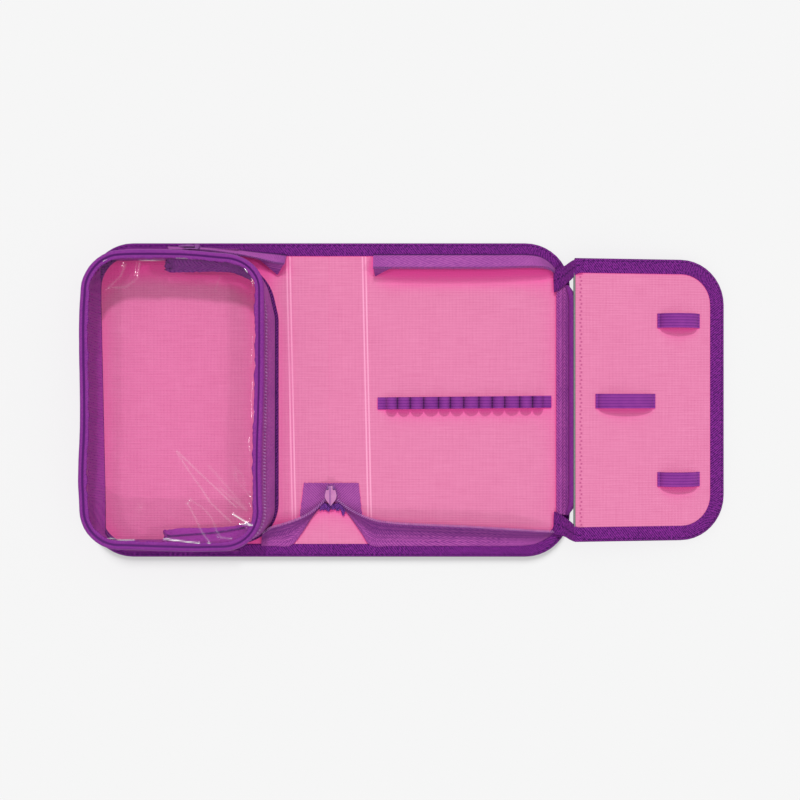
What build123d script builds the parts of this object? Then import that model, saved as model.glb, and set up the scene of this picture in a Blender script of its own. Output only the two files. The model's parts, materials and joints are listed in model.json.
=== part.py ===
from build123d import *
import os
from math import atan2, cos, degrees, hypot, radians, sin, tan

# Expandable pencil case, unzipped and opened flat on its cover, in millimetres.
# X runs from the pocket to the flap, Y along the spine and Z up from the table.
# The origin is the middle of the spine, on its underside.

# Case: three stiff boards between a cover and a lining, bound along the edge
case_length = 209.5
panel_width = 135.5
spine_width = 50.5
corner_radius = 30.0
cover_thickness = 0.8
board_thickness = 1.6
lining_thickness = 0.6
binding_width = 8.7
binding_thickness = 0.5

# Folds: the boards stop short of the fold lines, and a soft web joins them
fold_angle = 90.0
fold_clearance = 0.3
web_clearance = 0.15
channel_width = 2.7
channel_depth = 0.8

# Main zip: tapes that lean in from the binding, with teeth along their free edge
tape_thickness = 0.8
sewing_lap = 1.0
sewing_gap = 0.15
top_lean = 8.5
top_rise = 6.0
bottom_fold_lean = 16.6
bottom_edge_lean = 8.7
bottom_rise = 4.0
left_end_lean = 5.0
left_run_length = 16.0
tape_corner_gap = 11.5
standing_inset = 4.5
standing_height = 2.7
standing_run_gap = 4.0
tooth_pitch = 2.6
tooth_length = 1.4
tooth_width = 2.8
tooth_height = 1.8
tooth_cord_radius = 0.6
tooth_gap = 0.1

# Zip tail: both tapes joined on the spine, where the slider waits, placed from the bottom edge
tail_x = 1.3
tail_width = 36.2
tail_top_inset = 49.15
tail_shoulder_inset = 33.25
tail_notch_inset = 42.4
tail_notch_width = 7.0
chain_end_gap = 1.4
bridge_start = 7.2
bridge_start_inset = 34.55
bridge_start_width = 4.2
bridge_lift = 1.6

# Zip sliders and their pulls
slider_length = 11.0
slider_nose_radius = 4.2
slider_tail_radius = 3.0
slider_plate = 0.8
slider_gap = 2.4
slider_clearance = 0.2
slider_inset = 43.15
slider_travel = 1.5
post_width = 0.8
post_length = 2.0
lug_thickness = 0.9
lug_length = 2.6
lug_height = 2.4
pin_radius = 0.5
pin_height = 1.4
pull_length = 12.4
pull_width = 8.6
pull_shoulder_width = 6.1
pull_waist = 6.8
pull_shoulder = 1.8
pull_corner = 5.0
pull_tip_radius = 1.6
pull_thickness = 1.2
pull_barrel_radius = 0.95
pull_barrel_length = 2.8
pull_side_gap = 0.25
pull_rib_width = 1.0
pull_rib_length = 7.6
pull_rib_height = 0.35
running_clearance = 0.08

# Elastic band with pencil loops on the right panel
pencil_loops = 12
band_start_x = 32.3
band_length = 115.8
band_width = 8.0
band_y = -1.7
band_tab = 5.4
band_height = 6.2
elastic_thickness = 0.7

# Flap on the right panel's outer edge, hung on a twill strip that leans outwards
flap_length = 100.8
flap_end_gap = 11.45
flap_slope = 7.2
flap_edge_gap = 1.05
strip_run = 12.1
strip_end_inset = 17.3
strip_thickness = 0.8
strip_seat = 0.9
strip_end_gap = 0.5
edge_cord_radius = 0.7
ribbon_end_gap = 2.6
pivot_inset = 9.55
ribbon_width = 9.0
ribbon_drop = 9.0
ribbon_thickness = 0.6
ribbon_gap = 0.1
flap_loop_width = 9.5
flap_loop_tab = 2.6
flap_loop_height = 6.2
side_loop_length = 29.0
side_loop_start = 54.5
side_loop_inset = 40.8
middle_loop_length = 40.6
middle_loop_start = 12.3
middle_loop_y = -0.7

# Expanding pocket on the left panel: a gusset, a zip round it and a clear lid
pocket_width = 118.7
pocket_end_gap = 7.5
pocket_height = 28.0
pocket_radius = 25.0
pocket_fold_gap = 14.85
pocket_y = 1.0
base_width = 114.5
base_end_gap = 10.75
base_fold_gap = 10.25
base_flange = 1.8
base_thickness = 0.6
gusset_height = 12.0
wall_thickness = 0.9
wall_inset = 1.2
wall_gap = 0.3
piping_radius = 2.0
pocket_zip_height = 18.0
pocket_teeth_half_gap = 0.6
pocket_teeth_height = 0.9
pocket_teeth_width = 1.8
window_thickness = 0.5
window_gap = 0.1
window_drop = 0.4
lid_share = 0.565
lid_gap = 0.2
pocket_slider_lead = 18.8

# Heights of the layers and places of the edges, worked out from the above
board_top = cover_thickness + board_thickness
lining_top = board_top + lining_thickness
binding_top = lining_top + binding_thickness
mitre_slope = tan(radians(fold_angle / 2))
fold_x = spine_width / 2
edge_x = fold_x + panel_width
edge_y = case_length / 2
sewn_y = edge_y - binding_width + sewing_lap
flap_width = case_length - 2 * flap_end_gap
strip_length = flap_width - 2 * strip_end_inset
side_loop_y = flap_width / 2 - side_loop_inset
pocket_length = case_length - 2 * pocket_end_gap
base_length = case_length - 2 * base_end_gap
tail_top_y = tail_top_inset - edge_y
tail_shoulder_y = tail_shoulder_inset - edge_y
tail_notch_y = tail_notch_inset - edge_y
bridge_start_y = bridge_start_inset - edge_y
slider_y = slider_inset - edge_y

# Planes of the panels: X runs outwards from the spine on both, and the flap's from its hinge
right_plane = Plane.XY
left_plane = Plane(origin=(0, 0, 0), x_dir=(-1, 0, 0), z_dir=(0, 0, 1))
slope = radians(flap_slope)
pivot_x = edge_x - pivot_inset
pivot_z = lining_top + strip_seat
flap_hinge_x = pivot_x + strip_run
flap_hinge_z = flap_length * sin(slope) + lining_top / 2 * cos(slope)
flap_origin = (
    flap_hinge_x - lining_top / 2 * sin(slope),
    0,
    flap_hinge_z - lining_top / 2 * cos(slope),
)
flap_plane = Plane(origin=flap_origin, x_dir=(cos(slope), 0, -sin(slope)), z_dir=(sin(slope), 0, cos(slope)))


def save(piece, name):
    """Label one finished piece and write it."""
    piece.label = name
    export_step(piece, f"parts/{name}.step")


def side_view(plane):
    """The plane's own cross-section: across the piece and up."""
    return Plane(origin=plane.origin, x_dir=plane.x_dir, z_dir=-plane.y_dir)


os.makedirs("parts", exist_ok=True)


# Panels and flap

def shell_layer(plane, near, far, length, bottom, top, inset, mitre):
    """One layer of a panel: square at the fold, rounded outside, drawn in on its three free sides."""
    start = near - corner_radius
    with BuildPart() as layer:
        with BuildSketch(plane.offset(bottom)):
            with Locations(((start + far - inset) / 2, 0)):
                outline = Rectangle(far - inset - start, length - 2 * inset)
            fillet(outline.vertices().sort_by(Axis.X)[-2:], corner_radius - inset)
        extrude(amount=top - bottom)
        with BuildSketch(side_view(plane)):
            with BuildLine():
                Polyline(
                    (near + bottom * mitre, bottom),
                    (far, bottom),
                    (far, top),
                    (near + top * mitre, top),
                    close=True,
                )
            make_face()
        extrude(amount=length, both=True, mode=Mode.INTERSECT)
    return layer.part


def make_shell(prefix, plane, near, far, length, mitre):
    """Cover, board, lining and binding of one panel or of the flap."""
    def layer(bottom, top, inset):
        return shell_layer(plane, near, far, length, bottom, top, inset, mitre)

    with BuildPart() as cover:
        add(layer(0, binding_thickness, binding_width))
        add(layer(binding_thickness, cover_thickness, binding_thickness))
    with BuildPart() as board:
        add(layer(cover_thickness, board_top, binding_thickness))
    with BuildPart() as lining:
        add(layer(board_top, lining_top, binding_thickness))
    with BuildPart() as binding:
        add(layer(0, binding_top, 0))
        add(layer(0, binding_top, binding_width), mode=Mode.SUBTRACT)
        add(layer(binding_thickness, lining_top, binding_thickness), mode=Mode.SUBTRACT)
    save(cover.part, prefix + "_cover")
    save(board.part, prefix + "_board")
    save(lining.part, prefix + "_lining")
    save(binding.part, prefix + "_binding")


make_shell("right", right_plane, fold_x + fold_clearance, edge_x, case_length, mitre_slope)
make_shell("left", left_plane, fold_x + fold_clearance, edge_x, case_length, mitre_slope)
make_shell("flap", flap_plane, flap_edge_gap, flap_length, flap_width, 0)


# Spine

def spine_layer(bottom, top, inset):
    """One layer of the spine, with both long edges sloped back for the folding panels."""
    half = fold_x - fold_clearance
    with BuildPart() as layer:
        with BuildSketch(Plane.XZ):
            with BuildLine():
                Polyline(
                    (-half + bottom * mitre_slope, bottom),
                    (half - bottom * mitre_slope, bottom),
                    (half - top * mitre_slope, top),
                    (-half + top * mitre_slope, top),
                    close=True,
                )
            make_face()
        extrude(amount=edge_y - inset, both=True)
    return layer.part


with BuildPart() as spine_cover:
    add(spine_layer(0, binding_thickness, binding_width))
    add(spine_layer(binding_thickness, cover_thickness, binding_thickness))
save(spine_cover.part, "spine_cover")

with BuildPart() as spine_board:
    add(spine_layer(cover_thickness, board_top, binding_thickness))
save(spine_board.part, "spine_board")

with BuildPart() as spine_lining:
    add(spine_layer(board_top, lining_top, binding_thickness))
save(spine_lining.part, "spine_lining")

with BuildPart() as spine_bindings:
    add(spine_layer(0, binding_top, 0))
    add(spine_layer(0, binding_top, binding_width), mode=Mode.SUBTRACT)
    add(spine_layer(binding_thickness, lining_top, binding_thickness), mode=Mode.SUBTRACT)
bottom_end, top_end = spine_bindings.solids().sort_by(Axis.Y)
for end_name, end in (("bottom", bottom_end), ("top", top_end)):
    with BuildPart() as spine_binding:
        add(end)
    save(spine_binding.part, f"spine_binding_{end_name}")

# Fold webs: the soft cover and lining between the boards, pressed into a shallow channel
web_half = fold_clearance - web_clearance
for side_name, side in (("left", -1), ("right", 1)):
    with BuildPart() as fold_web:
        with BuildSketch(Plane.XZ):
            with BuildLine():
                Polyline(
                    (side * fold_x - web_half - binding_thickness * mitre_slope, binding_thickness),
                    (side * fold_x + web_half + binding_thickness * mitre_slope, binding_thickness),
                    (side * fold_x + web_half + lining_top * mitre_slope, lining_top),
                    (side * fold_x - web_half - lining_top * mitre_slope, lining_top),
                    close=True,
                )
            make_face()
            with Locations((side * fold_x, lining_top)):
                Rectangle(channel_width, 2 * channel_depth, mode=Mode.SUBTRACT)
        extrude(amount=edge_y - binding_thickness, both=True)
    save(fold_web.part, f"{side_name}_fold_web")


# Main zip tapes and their teeth

def tape_section(x, base_y, base_z, edge_y_here, edge_z):
    """Cut through a tape at x, from its sewn base to its toothed edge."""
    with BuildSketch(Plane.YZ.offset(x)) as section:
        with BuildLine():
            Polyline(
                (base_y, base_z),
                (edge_y_here, edge_z),
                (edge_y_here, edge_z + tape_thickness),
                (base_y, base_z + tape_thickness),
                close=True,
            )
        make_face()
    return section.sketch


def tape_run(start, end):
    """A tape that leans and twists evenly between two of its sections."""
    with BuildPart() as run:
        loft([tape_section(*start), tape_section(*end)], ruled=True)
    return run.part


def teeth_row(start, end):
    """Teeth on one cord, beside the toothed edge between two sections of a tape."""
    first = Vector(start[0], start[3], start[4] + tape_thickness / 2)
    last = Vector(end[0], end[3], end[4] + tape_thickness / 2)
    run = last - first
    inward = 1 if (start[3] > start[1]) == (last.X > first.X) else -1
    first += Vector(0, 0, 1).cross(run).normalized() * inward * (tooth_width / 2 + tooth_gap)
    first += run.normalized() * tooth_length
    run -= run.normalized() * (2 * tooth_length)
    count = int((run.length - tooth_length) / tooth_pitch)
    with BuildPart() as row:
        with BuildSketch(Plane(origin=first, z_dir=run)):
            Circle(tooth_cord_radius)
        extrude(amount=run.length)
        places = [first + run * ((number + 1 / 2) / count) for number in range(count)]
        with Locations(*[Plane(origin=place, x_dir=run, z_dir=(0, 0, 1)) for place in places]):
            Box(tooth_length, tooth_width, tooth_height)
    return row.part


tape_start_x = fold_x + fold_clearance + binding_top * mitre_slope + sewing_gap
tape_end_x = edge_x - tape_corner_gap
bottom_start = (tape_start_x, -sewn_y, binding_top, -sewn_y + bottom_fold_lean, binding_top + bottom_rise)
bottom_end = (tape_end_x, -sewn_y, binding_top, -sewn_y + bottom_edge_lean, binding_top + bottom_rise)
top_start = (tape_start_x, sewn_y, binding_top, sewn_y - top_lean, binding_top + top_rise)
top_end = (tape_end_x, sewn_y, binding_top, sewn_y - top_lean, binding_top + top_rise)

with BuildPart() as right_zip_tape:
    add(tape_run(bottom_start, bottom_end))
    add(tape_run(top_start, top_end))
save(right_zip_tape.part, "right_zip_tape")

with BuildPart() as right_zip_teeth:
    add(teeth_row(bottom_start, bottom_end))
    add(teeth_row(top_start, top_end))
save(right_zip_teeth.part, "right_zip_teeth")

# The right tape's run under the flap's strip, standing on the outer binding
strip_rise = flap_hinge_z - pivot_z
with BuildPart() as right_zip_side_tape:
    with BuildSketch(Plane.XY.offset(binding_top)):
        with Locations((edge_x - standing_inset, 0)):
            Rectangle(tape_thickness, case_length - 2 * corner_radius)
    extrude(amount=standing_height)
save(right_zip_side_tape.part, "right_zip_side_tape")

left_start = (-tape_start_x, -sewn_y, binding_top, -sewn_y + bottom_fold_lean, binding_top + bottom_rise)
left_end_x = -tape_start_x - left_run_length
left_end = (left_end_x, -sewn_y, binding_top, -sewn_y + left_end_lean, binding_top + bottom_rise)
with BuildPart() as left_zip_tape:
    add(tape_run(left_start, left_end))
save(left_zip_tape.part, "left_zip_tape")

with BuildPart() as left_zip_teeth:
    add(teeth_row(left_start, left_end))
save(left_zip_teeth.part, "left_zip_teeth")

# The left tape goes on round the pocket, standing on the binding with its teeth on top
standing_x = edge_x - standing_inset
standing_y = edge_y - standing_inset
standing_start_x = -left_end_x + standing_run_gap
with BuildPart() as left_zip_standing_tape:
    with BuildSketch(Plane.XY.offset(binding_top)):
        with BuildLine():
            route = FilletPolyline(
                (-standing_start_x, -standing_y),
                (-standing_x, -standing_y),
                (-standing_x, standing_y),
                (-tape_start_x, standing_y),
                radius=corner_radius - standing_inset,
            )
            offset(route, amount=tape_thickness / 2)
        make_face()
    extrude(amount=standing_height)
save(left_zip_standing_tape.part, "left_zip_standing_tape")

# Tail tab, closed chain and the two bridges to the panels
chain_z = lining_top + slider_clearance + slider_plate + slider_gap / 2
tab_half = tail_width / 2
notch_half = tail_notch_width / 2
slot_width = tooth_width + 2 * tooth_gap
with BuildPart() as zip_tail_tab:
    with BuildSketch(Plane.XY.offset(lining_top)):
        with BuildLine():
            Polyline(
                (tail_x - tab_half, tail_top_y),
                (tail_x + tab_half, tail_top_y),
                (tail_x + tab_half, tail_shoulder_y),
                (tail_x + notch_half, tail_notch_y),
                (tail_x - notch_half, tail_notch_y),
                (tail_x - tab_half, tail_shoulder_y),
                close=True,
            )
        make_face()
    extrude(amount=chain_z + tape_thickness / 2 - lining_top)
    chain_start_y = tail_top_y - chain_end_gap
    with BuildSketch(Plane.XY.offset(lining_top)):
        with Locations((tail_x, (chain_start_y + tail_shoulder_y) / 2)):
            Rectangle(slot_width, chain_start_y - tail_shoulder_y)
    extrude(amount=chain_z, mode=Mode.SUBTRACT)
    channel_top_y = slider_y + slider_length / 2 + slider_travel + slider_clearance
    with BuildSketch(Plane.XY.offset(lining_top)):
        with Locations((tail_x, (channel_top_y + tail_shoulder_y) / 2)):
            Rectangle(2 * (slider_nose_radius + slider_clearance), channel_top_y - tail_shoulder_y)
    extrude(amount=chain_z - tape_thickness / 2 - lining_top, mode=Mode.SUBTRACT)
save(zip_tail_tab.part, "zip_tail_tab")

chain_length = chain_start_y - tooth_gap - tail_notch_y
chain_count = int(chain_length / tooth_pitch)
with BuildPart() as zip_tail_chain:
    with BuildSketch(Plane(origin=(tail_x, tail_notch_y, chain_z), z_dir=(0, 1, 0))):
        Circle(tooth_cord_radius)
    extrude(amount=chain_length)
    chain_places = [tail_notch_y + chain_length * (n + 1 / 2) / chain_count for n in range(chain_count)]
    with Locations(*[(tail_x, place, chain_z) for place in chain_places]):
        Box(tooth_width, tooth_length, tooth_height)
save(zip_tail_chain.part, "zip_tail_chain")

for side_name, side in (("left", -1), ("right", 1)):
    bridge_z = lining_top + bridge_lift
    bridge_start_section = (
        tail_x + side * bridge_start,
        bridge_start_y - bridge_start_width,
        bridge_z,
        bridge_start_y,
        bridge_z,
    )
    bridge_end_section = (
        side * (tape_start_x - 2 * sewing_gap),
        -sewn_y,
        binding_top,
        -sewn_y + bottom_fold_lean,
        binding_top + bottom_rise,
    )
    with BuildPart() as bridge_tape:
        add(tape_run(bridge_start_section, bridge_end_section))
    save(bridge_tape.part, f"{side_name}_bridge_tape")
    with BuildPart() as bridge_teeth:
        add(teeth_row(bridge_start_section, bridge_end_section))
    save(bridge_teeth.part, f"{side_name}_bridge_teeth")


# Sliders and pulls: the plane lies in the tape's middle, Y along the zip towards the pull's pin

pin_offset = slider_length / 2 - slider_tail_radius + lug_length / 2
pin_top = slider_gap / 2 + slider_plate + pin_height


def slider_outline(plane):
    """Slider plate from above: wide at its nose, narrow at its tail."""
    with BuildSketch(plane) as plate:
        with Locations((0, -slider_length / 2 + slider_nose_radius)):
            Circle(slider_nose_radius)
        with Locations((0, slider_length / 2 - slider_tail_radius)):
            Circle(slider_tail_radius)
        make_hull()
    return plate.sketch


def make_slider(plane, name):
    """Two plates on a post, with two lugs and a pin for the pull."""
    pin_plane = Plane(
        origin=plane.from_local_coords(Vector(0, pin_offset, pin_top)), x_dir=plane.y_dir, z_dir=plane.x_dir
    )
    lug_x = pull_barrel_length / 2 + pull_side_gap + lug_thickness / 2
    with BuildPart() as slider:
        extrude(slider_outline(plane.offset(slider_gap / 2)), amount=slider_plate)
        extrude(slider_outline(plane.offset(-slider_gap / 2 - slider_plate)), amount=slider_plate)
        with BuildSketch(plane.offset(-slider_gap / 2)):
            with Locations((0, -slider_length / 2 + post_length)):
                Rectangle(post_width, post_length)
        extrude(amount=slider_gap)
        with BuildSketch(plane.offset(slider_gap / 2 + slider_plate)):
            with Locations((-lug_x, pin_offset), (lug_x, pin_offset)):
                Rectangle(lug_thickness, lug_length)
        extrude(amount=lug_height)
        with BuildSketch(pin_plane):
            Circle(pin_radius)
        extrude(amount=lug_x, both=True)
    save(slider.part, name)


def make_pull(plane, name):
    """Leaf-shaped pull that lies over the slider, on a barrel round the slider's pin."""
    pin_plane = Plane(
        origin=plane.from_local_coords(Vector(0, pin_offset, pin_top)), x_dir=plane.y_dir, z_dir=plane.x_dir
    )
    leaf_plane = plane.offset(pin_top - pull_thickness / 2)
    neck_half = pull_barrel_length / 2
    neck_y = pin_offset - pull_barrel_radius / 2
    shoulder_y = pin_offset - pull_shoulder
    shoulder_half = pull_shoulder_width / 2
    waist_y = pin_offset - pull_waist
    tip_y = pin_offset - pull_length
    with BuildPart() as pull:
        with BuildSketch(leaf_plane):
            with BuildLine():
                Polyline(
                    (0, tip_y),
                    (pull_width / 2, waist_y),
                    (shoulder_half, shoulder_y),
                    (neck_half, shoulder_y),
                    (neck_half, neck_y),
                    (-neck_half, neck_y),
                    (-neck_half, shoulder_y),
                    (-shoulder_half, shoulder_y),
                    (-pull_width / 2, waist_y),
                    close=True,
                )
            leaf = make_face()
            corners = leaf.vertices().sort_by(Axis.X)
            fillet([corners[0], corners[-1]], pull_corner)
            fillet(leaf.vertices().sort_by(Axis.Y)[0], pull_tip_radius)
        extrude(amount=pull_thickness)
        with BuildSketch(leaf_plane.offset(pull_thickness)):
            with Locations((0, (shoulder_y + tip_y) / 2)):
                Rectangle(pull_rib_width, pull_rib_length)
        extrude(amount=pull_rib_height)
        with BuildSketch(pin_plane):
            Circle(pull_barrel_radius)
        extrude(amount=pull_barrel_length / 2, both=True)
        with BuildSketch(pin_plane):
            Circle(pin_radius + running_clearance)
        extrude(amount=pull_barrel_length, both=True, mode=Mode.SUBTRACT)
    save(pull.part, name)


main_slider_plane = Plane(origin=(tail_x, slider_y, chain_z), x_dir=(1, 0, 0), z_dir=(0, 0, 1))
make_slider(main_slider_plane, "zip_slider")
make_pull(main_slider_plane, "zip_pull")


# Pencil loops: one elastic band, sewn down between the loops

loop_pitch = (band_length - 2 * band_tab) / pencil_loops
loop_centres = [band_start_x + band_tab + loop_pitch * (n + 1 / 2) for n in range(pencil_loops)]
with BuildPart() as pencil_loop_band:
    with BuildSketch(Plane.XZ.offset(-band_y - band_width / 2)):
        with Locations(*[(centre, lining_top) for centre in loop_centres]):
            Ellipse(loop_pitch / 2 + elastic_thickness / 2, band_height)
        with Locations(*[(centre, lining_top) for centre in loop_centres]):
            Ellipse(loop_pitch / 2 - elastic_thickness / 2, band_height - elastic_thickness, mode=Mode.SUBTRACT)
        with Locations((band_start_x + band_length / 2, lining_top - band_height)):
            Rectangle(band_length, 2 * band_height, mode=Mode.SUBTRACT)
        tab_middles = (band_start_x + band_tab / 2, band_start_x + band_length - band_tab / 2)
        with Locations(*[(middle, lining_top + elastic_thickness / 2) for middle in tab_middles]):
            Rectangle(band_tab, elastic_thickness)
    extrude(amount=band_width)
save(pencil_loop_band.part, "pencil_loop_band")


# Flap's hinge strip, with its cord and its ribbon ends

strip_angle = atan2(strip_rise, strip_run)
strip_width = hypot(strip_run, strip_rise)
strip_plane = Plane(
    origin=(pivot_x, 0, pivot_z), x_dir=(cos(strip_angle), 0, sin(strip_angle)),
    z_dir=(-sin(strip_angle), 0, cos(strip_angle)),
)
strip_end = strip_width - edge_cord_radius
ribbon_end = strip_width - ribbon_end_gap
with BuildPart() as flap_hinge_tape:
    with BuildSketch(strip_plane.offset(-strip_thickness / 2)):
        with Locations(((strip_end_gap + strip_end) / 2, 0)):
            Rectangle(strip_end - strip_end_gap, strip_length)
    extrude(amount=strip_thickness)
save(flap_hinge_tape.part, "flap_hinge_tape")

with BuildPart() as flap_hinge_cord:
    with BuildSketch(side_view(strip_plane)):
        with Locations((strip_width, 0)):
            Circle(edge_cord_radius)
    extrude(amount=strip_length / 2, both=True)
save(flap_hinge_cord.part, "flap_hinge_cord")

ribbon_y = flap_width / 2 - ribbon_thickness
for end_name, end in (("bottom", -1), ("top", 1)):
    with BuildPart() as flap_ribbon:
        with BuildSketch(strip_plane.offset(edge_cord_radius + ribbon_gap)):
            with BuildLine():
                Polyline(
                    (strip_end_gap, end * (ribbon_y - ribbon_drop)),
                    (ribbon_end, end * ribbon_y),
                    (ribbon_end, end * (ribbon_y - ribbon_width)),
                    (strip_end_gap, end * (ribbon_y - ribbon_drop - ribbon_width)),
                    close=True,
                )
            make_face()
        extrude(amount=ribbon_thickness)
    save(flap_ribbon.part, f"flap_ribbon_{end_name}")


# Flap's elastic loops

def make_flap_loop(name, start, length, middle_y):
    """An elastic strap sewn down at both ends, bowed up between them."""
    loop_plane = side_view(flap_plane.offset(lining_top))
    with BuildPart() as loop:
        with BuildSketch(loop_plane.offset(-middle_y - flap_loop_width / 2)):
            with BuildLine():
                ThreePointArc((start, 0), (start + length / 2, flap_loop_height), (start + length, 0))
                Line((start + length, 0), (start, 0))
            make_face()
            with BuildLine():
                ThreePointArc(
                    (start + flap_loop_tab, 0),
                    (start + length / 2, flap_loop_height - elastic_thickness),
                    (start + length - flap_loop_tab, 0),
                )
                Line((start + length - flap_loop_tab, 0), (start + flap_loop_tab, 0))
            make_face(mode=Mode.SUBTRACT)
        extrude(amount=flap_loop_width)
    save(loop.part, name)


make_flap_loop("flap_loop_top", side_loop_start, side_loop_length, side_loop_y)
make_flap_loop("flap_loop_middle", middle_loop_start, middle_loop_length, middle_loop_y)
make_flap_loop("flap_loop_bottom", side_loop_start, side_loop_length, -side_loop_y)


# Expanding pocket

pocket_x = -fold_x - pocket_fold_gap - pocket_width / 2
base_x = -fold_x - base_fold_gap - base_width / 2
base_top = lining_top + base_thickness
gusset_top = lining_top + gusset_height
pocket_top_z = lining_top + pocket_height
piping_z = pocket_top_z - piping_radius
zip_z = lining_top + pocket_zip_height
lid_x = pocket_x + pocket_width / 2 - pocket_width * lid_share


def pocket_face(height, inset):
    """The pocket's outline at a height, drawn in by inset."""
    with BuildSketch(Plane.XY.offset(height)) as face:
        with Locations((pocket_x, pocket_y)):
            RectangleRounded(pocket_width - 2 * inset, pocket_length - 2 * inset, pocket_radius - inset)
    return face.sketch


def base_face(height, inset):
    """The pocket's outline where it is sewn to the lining, drawn in by inset."""
    with BuildSketch(Plane.XY.offset(height)) as face:
        with Locations((base_x, 0)):
            RectangleRounded(base_width - 2 * inset, base_length - 2 * inset, pocket_radius - inset)
    return face.sketch


def pocket_ring(bottom, top, outer_inset, inner_inset):
    """An upright band round the pocket."""
    with BuildPart() as ring:
        extrude(pocket_face(bottom, outer_inset), amount=top - bottom)
        extrude(pocket_face(bottom, inner_inset), amount=top - bottom, mode=Mode.SUBTRACT)
    return ring.part


def lid_side(piece):
    """The part of a ring that opens with the lid."""
    with BuildPart() as half:
        add(piece)
        split(bisect_by=Plane.YZ.offset(lid_x + lid_gap / 2), keep=Keep.TOP)
    return half.part


def fixed_side(piece):
    """The part of a ring that stays beside the lid."""
    with BuildPart() as half:
        add(piece)
        split(bisect_by=Plane.YZ.offset(lid_x - lid_gap / 2), keep=Keep.BOTTOM)
    return half.part


with BuildPart() as pocket_base_binding:
    extrude(base_face(lining_top, -base_flange), amount=base_thickness)
    extrude(base_face(lining_top, wall_thickness), amount=base_thickness, mode=Mode.SUBTRACT)
save(pocket_base_binding.part, "pocket_base_binding")

with BuildPart() as pocket_gusset:
    loft([base_face(base_top, 0), pocket_face(gusset_top, wall_inset)], ruled=True)
    inner_top = pocket_face(gusset_top, wall_inset + wall_thickness)
    loft([base_face(base_top, wall_thickness), inner_top], ruled=True, mode=Mode.SUBTRACT)
save(pocket_gusset.part, "pocket_gusset")

inner_inset = wall_inset + wall_thickness
lower_teeth_top = zip_z - pocket_teeth_half_gap
upper_teeth_bottom = zip_z + pocket_teeth_half_gap
lower_tape_top = lower_teeth_top - pocket_teeth_height
upper_tape_bottom = upper_teeth_bottom + pocket_teeth_height
wall_top = piping_z - piping_radius - window_gap
with BuildPart() as pocket_lower_tape:
    add(pocket_ring(gusset_top + wall_gap, lower_tape_top, wall_inset, inner_inset))
save(pocket_lower_tape.part, "pocket_lower_tape")

with BuildPart() as pocket_fixed_wall:
    add(fixed_side(pocket_ring(lower_tape_top, wall_top, wall_inset, inner_inset)))
save(pocket_fixed_wall.part, "pocket_fixed_wall")

with BuildPart() as pocket_upper_tape:
    add(lid_side(pocket_ring(upper_tape_bottom, wall_top, wall_inset, inner_inset)))
save(pocket_upper_tape.part, "pocket_upper_tape")

teeth_outset = (pocket_teeth_width - wall_thickness) / 2
outer_teeth = wall_inset - teeth_outset
inner_teeth = inner_inset + teeth_outset
with BuildPart() as pocket_lower_teeth:
    add(lid_side(pocket_ring(lower_tape_top, lower_teeth_top, outer_teeth, inner_teeth)))
save(pocket_lower_teeth.part, "pocket_lower_teeth")

with BuildPart() as pocket_upper_teeth:
    add(lid_side(pocket_ring(upper_teeth_bottom, upper_tape_bottom, outer_teeth, inner_teeth)))
save(pocket_upper_teeth.part, "pocket_upper_teeth")

with BuildPart() as pocket_piping:
    piping_route = pocket_face(piping_z, piping_radius).wire()
    with BuildSketch(Plane(origin=piping_route @ 0, z_dir=piping_route % 0)):
        Circle(piping_radius)
    sweep(path=piping_route)

with BuildPart() as pocket_fixed_piping:
    add(fixed_side(pocket_piping.part))
save(pocket_fixed_piping.part, "pocket_fixed_piping")

with BuildPart() as pocket_lid_piping:
    add(lid_side(pocket_piping.part))
save(pocket_lid_piping.part, "pocket_lid_piping")

with BuildPart() as pocket_window:
    extrude(pocket_face(piping_z + window_drop, 2 * piping_radius + window_gap), amount=window_thickness)

with BuildPart() as pocket_fixed_window:
    add(fixed_side(pocket_window.part))
save(pocket_fixed_window.part, "pocket_fixed_window")

with BuildPart() as pocket_lid_window:
    add(lid_side(pocket_window.part))
save(pocket_lid_window.part, "pocket_lid_window")

tape_middle_y = pocket_y + pocket_length / 2 - wall_inset - wall_thickness / 2
pocket_slider_plane = Plane(
    origin=(lid_x + pocket_slider_lead, tape_middle_y, zip_z), x_dir=(0, 0, 1), z_dir=(0, 1, 0)
)
make_slider(pocket_slider_plane, "pocket_slider")
make_pull(pocket_slider_plane, "pocket_pull")

# Places of the joints, for whoever fits this case into a scene
main_pin = main_slider_plane.from_local_coords(Vector(0, pin_offset, pin_top))
pocket_pin = pocket_slider_plane.from_local_coords(Vector(0, pin_offset, pin_top))
strip_lean = degrees(strip_angle)
print("folds at x", fold_x)
print("flap strip pivot", (pivot_x, pivot_z), "stands up by", fold_angle - strip_lean)
print("flap hinge", (flap_hinge_x, flap_hinge_z), "turns by", fold_angle + flap_slope + strip_lean)
print("main pull pin", main_pin, "pocket pull pin", pocket_pin)
print("lid hinge", (lid_x, pocket_top_z))
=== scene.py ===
# %% [markdown]
# # A pencil case, unzipped and laid open
# The real case is cloth over stiff card: a pink lining, purple edge binding, woven zip tapes, elastic loops
# and a clear vinyl window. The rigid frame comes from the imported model, and every soft piece is modelled
# over it, in metres and in the same place. A soft piece then rides on the body that carries it.

# %% Load the frame
import json
import math
import random

import bmesh
import bpy
from mathutils import Matrix, Vector, noise

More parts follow.
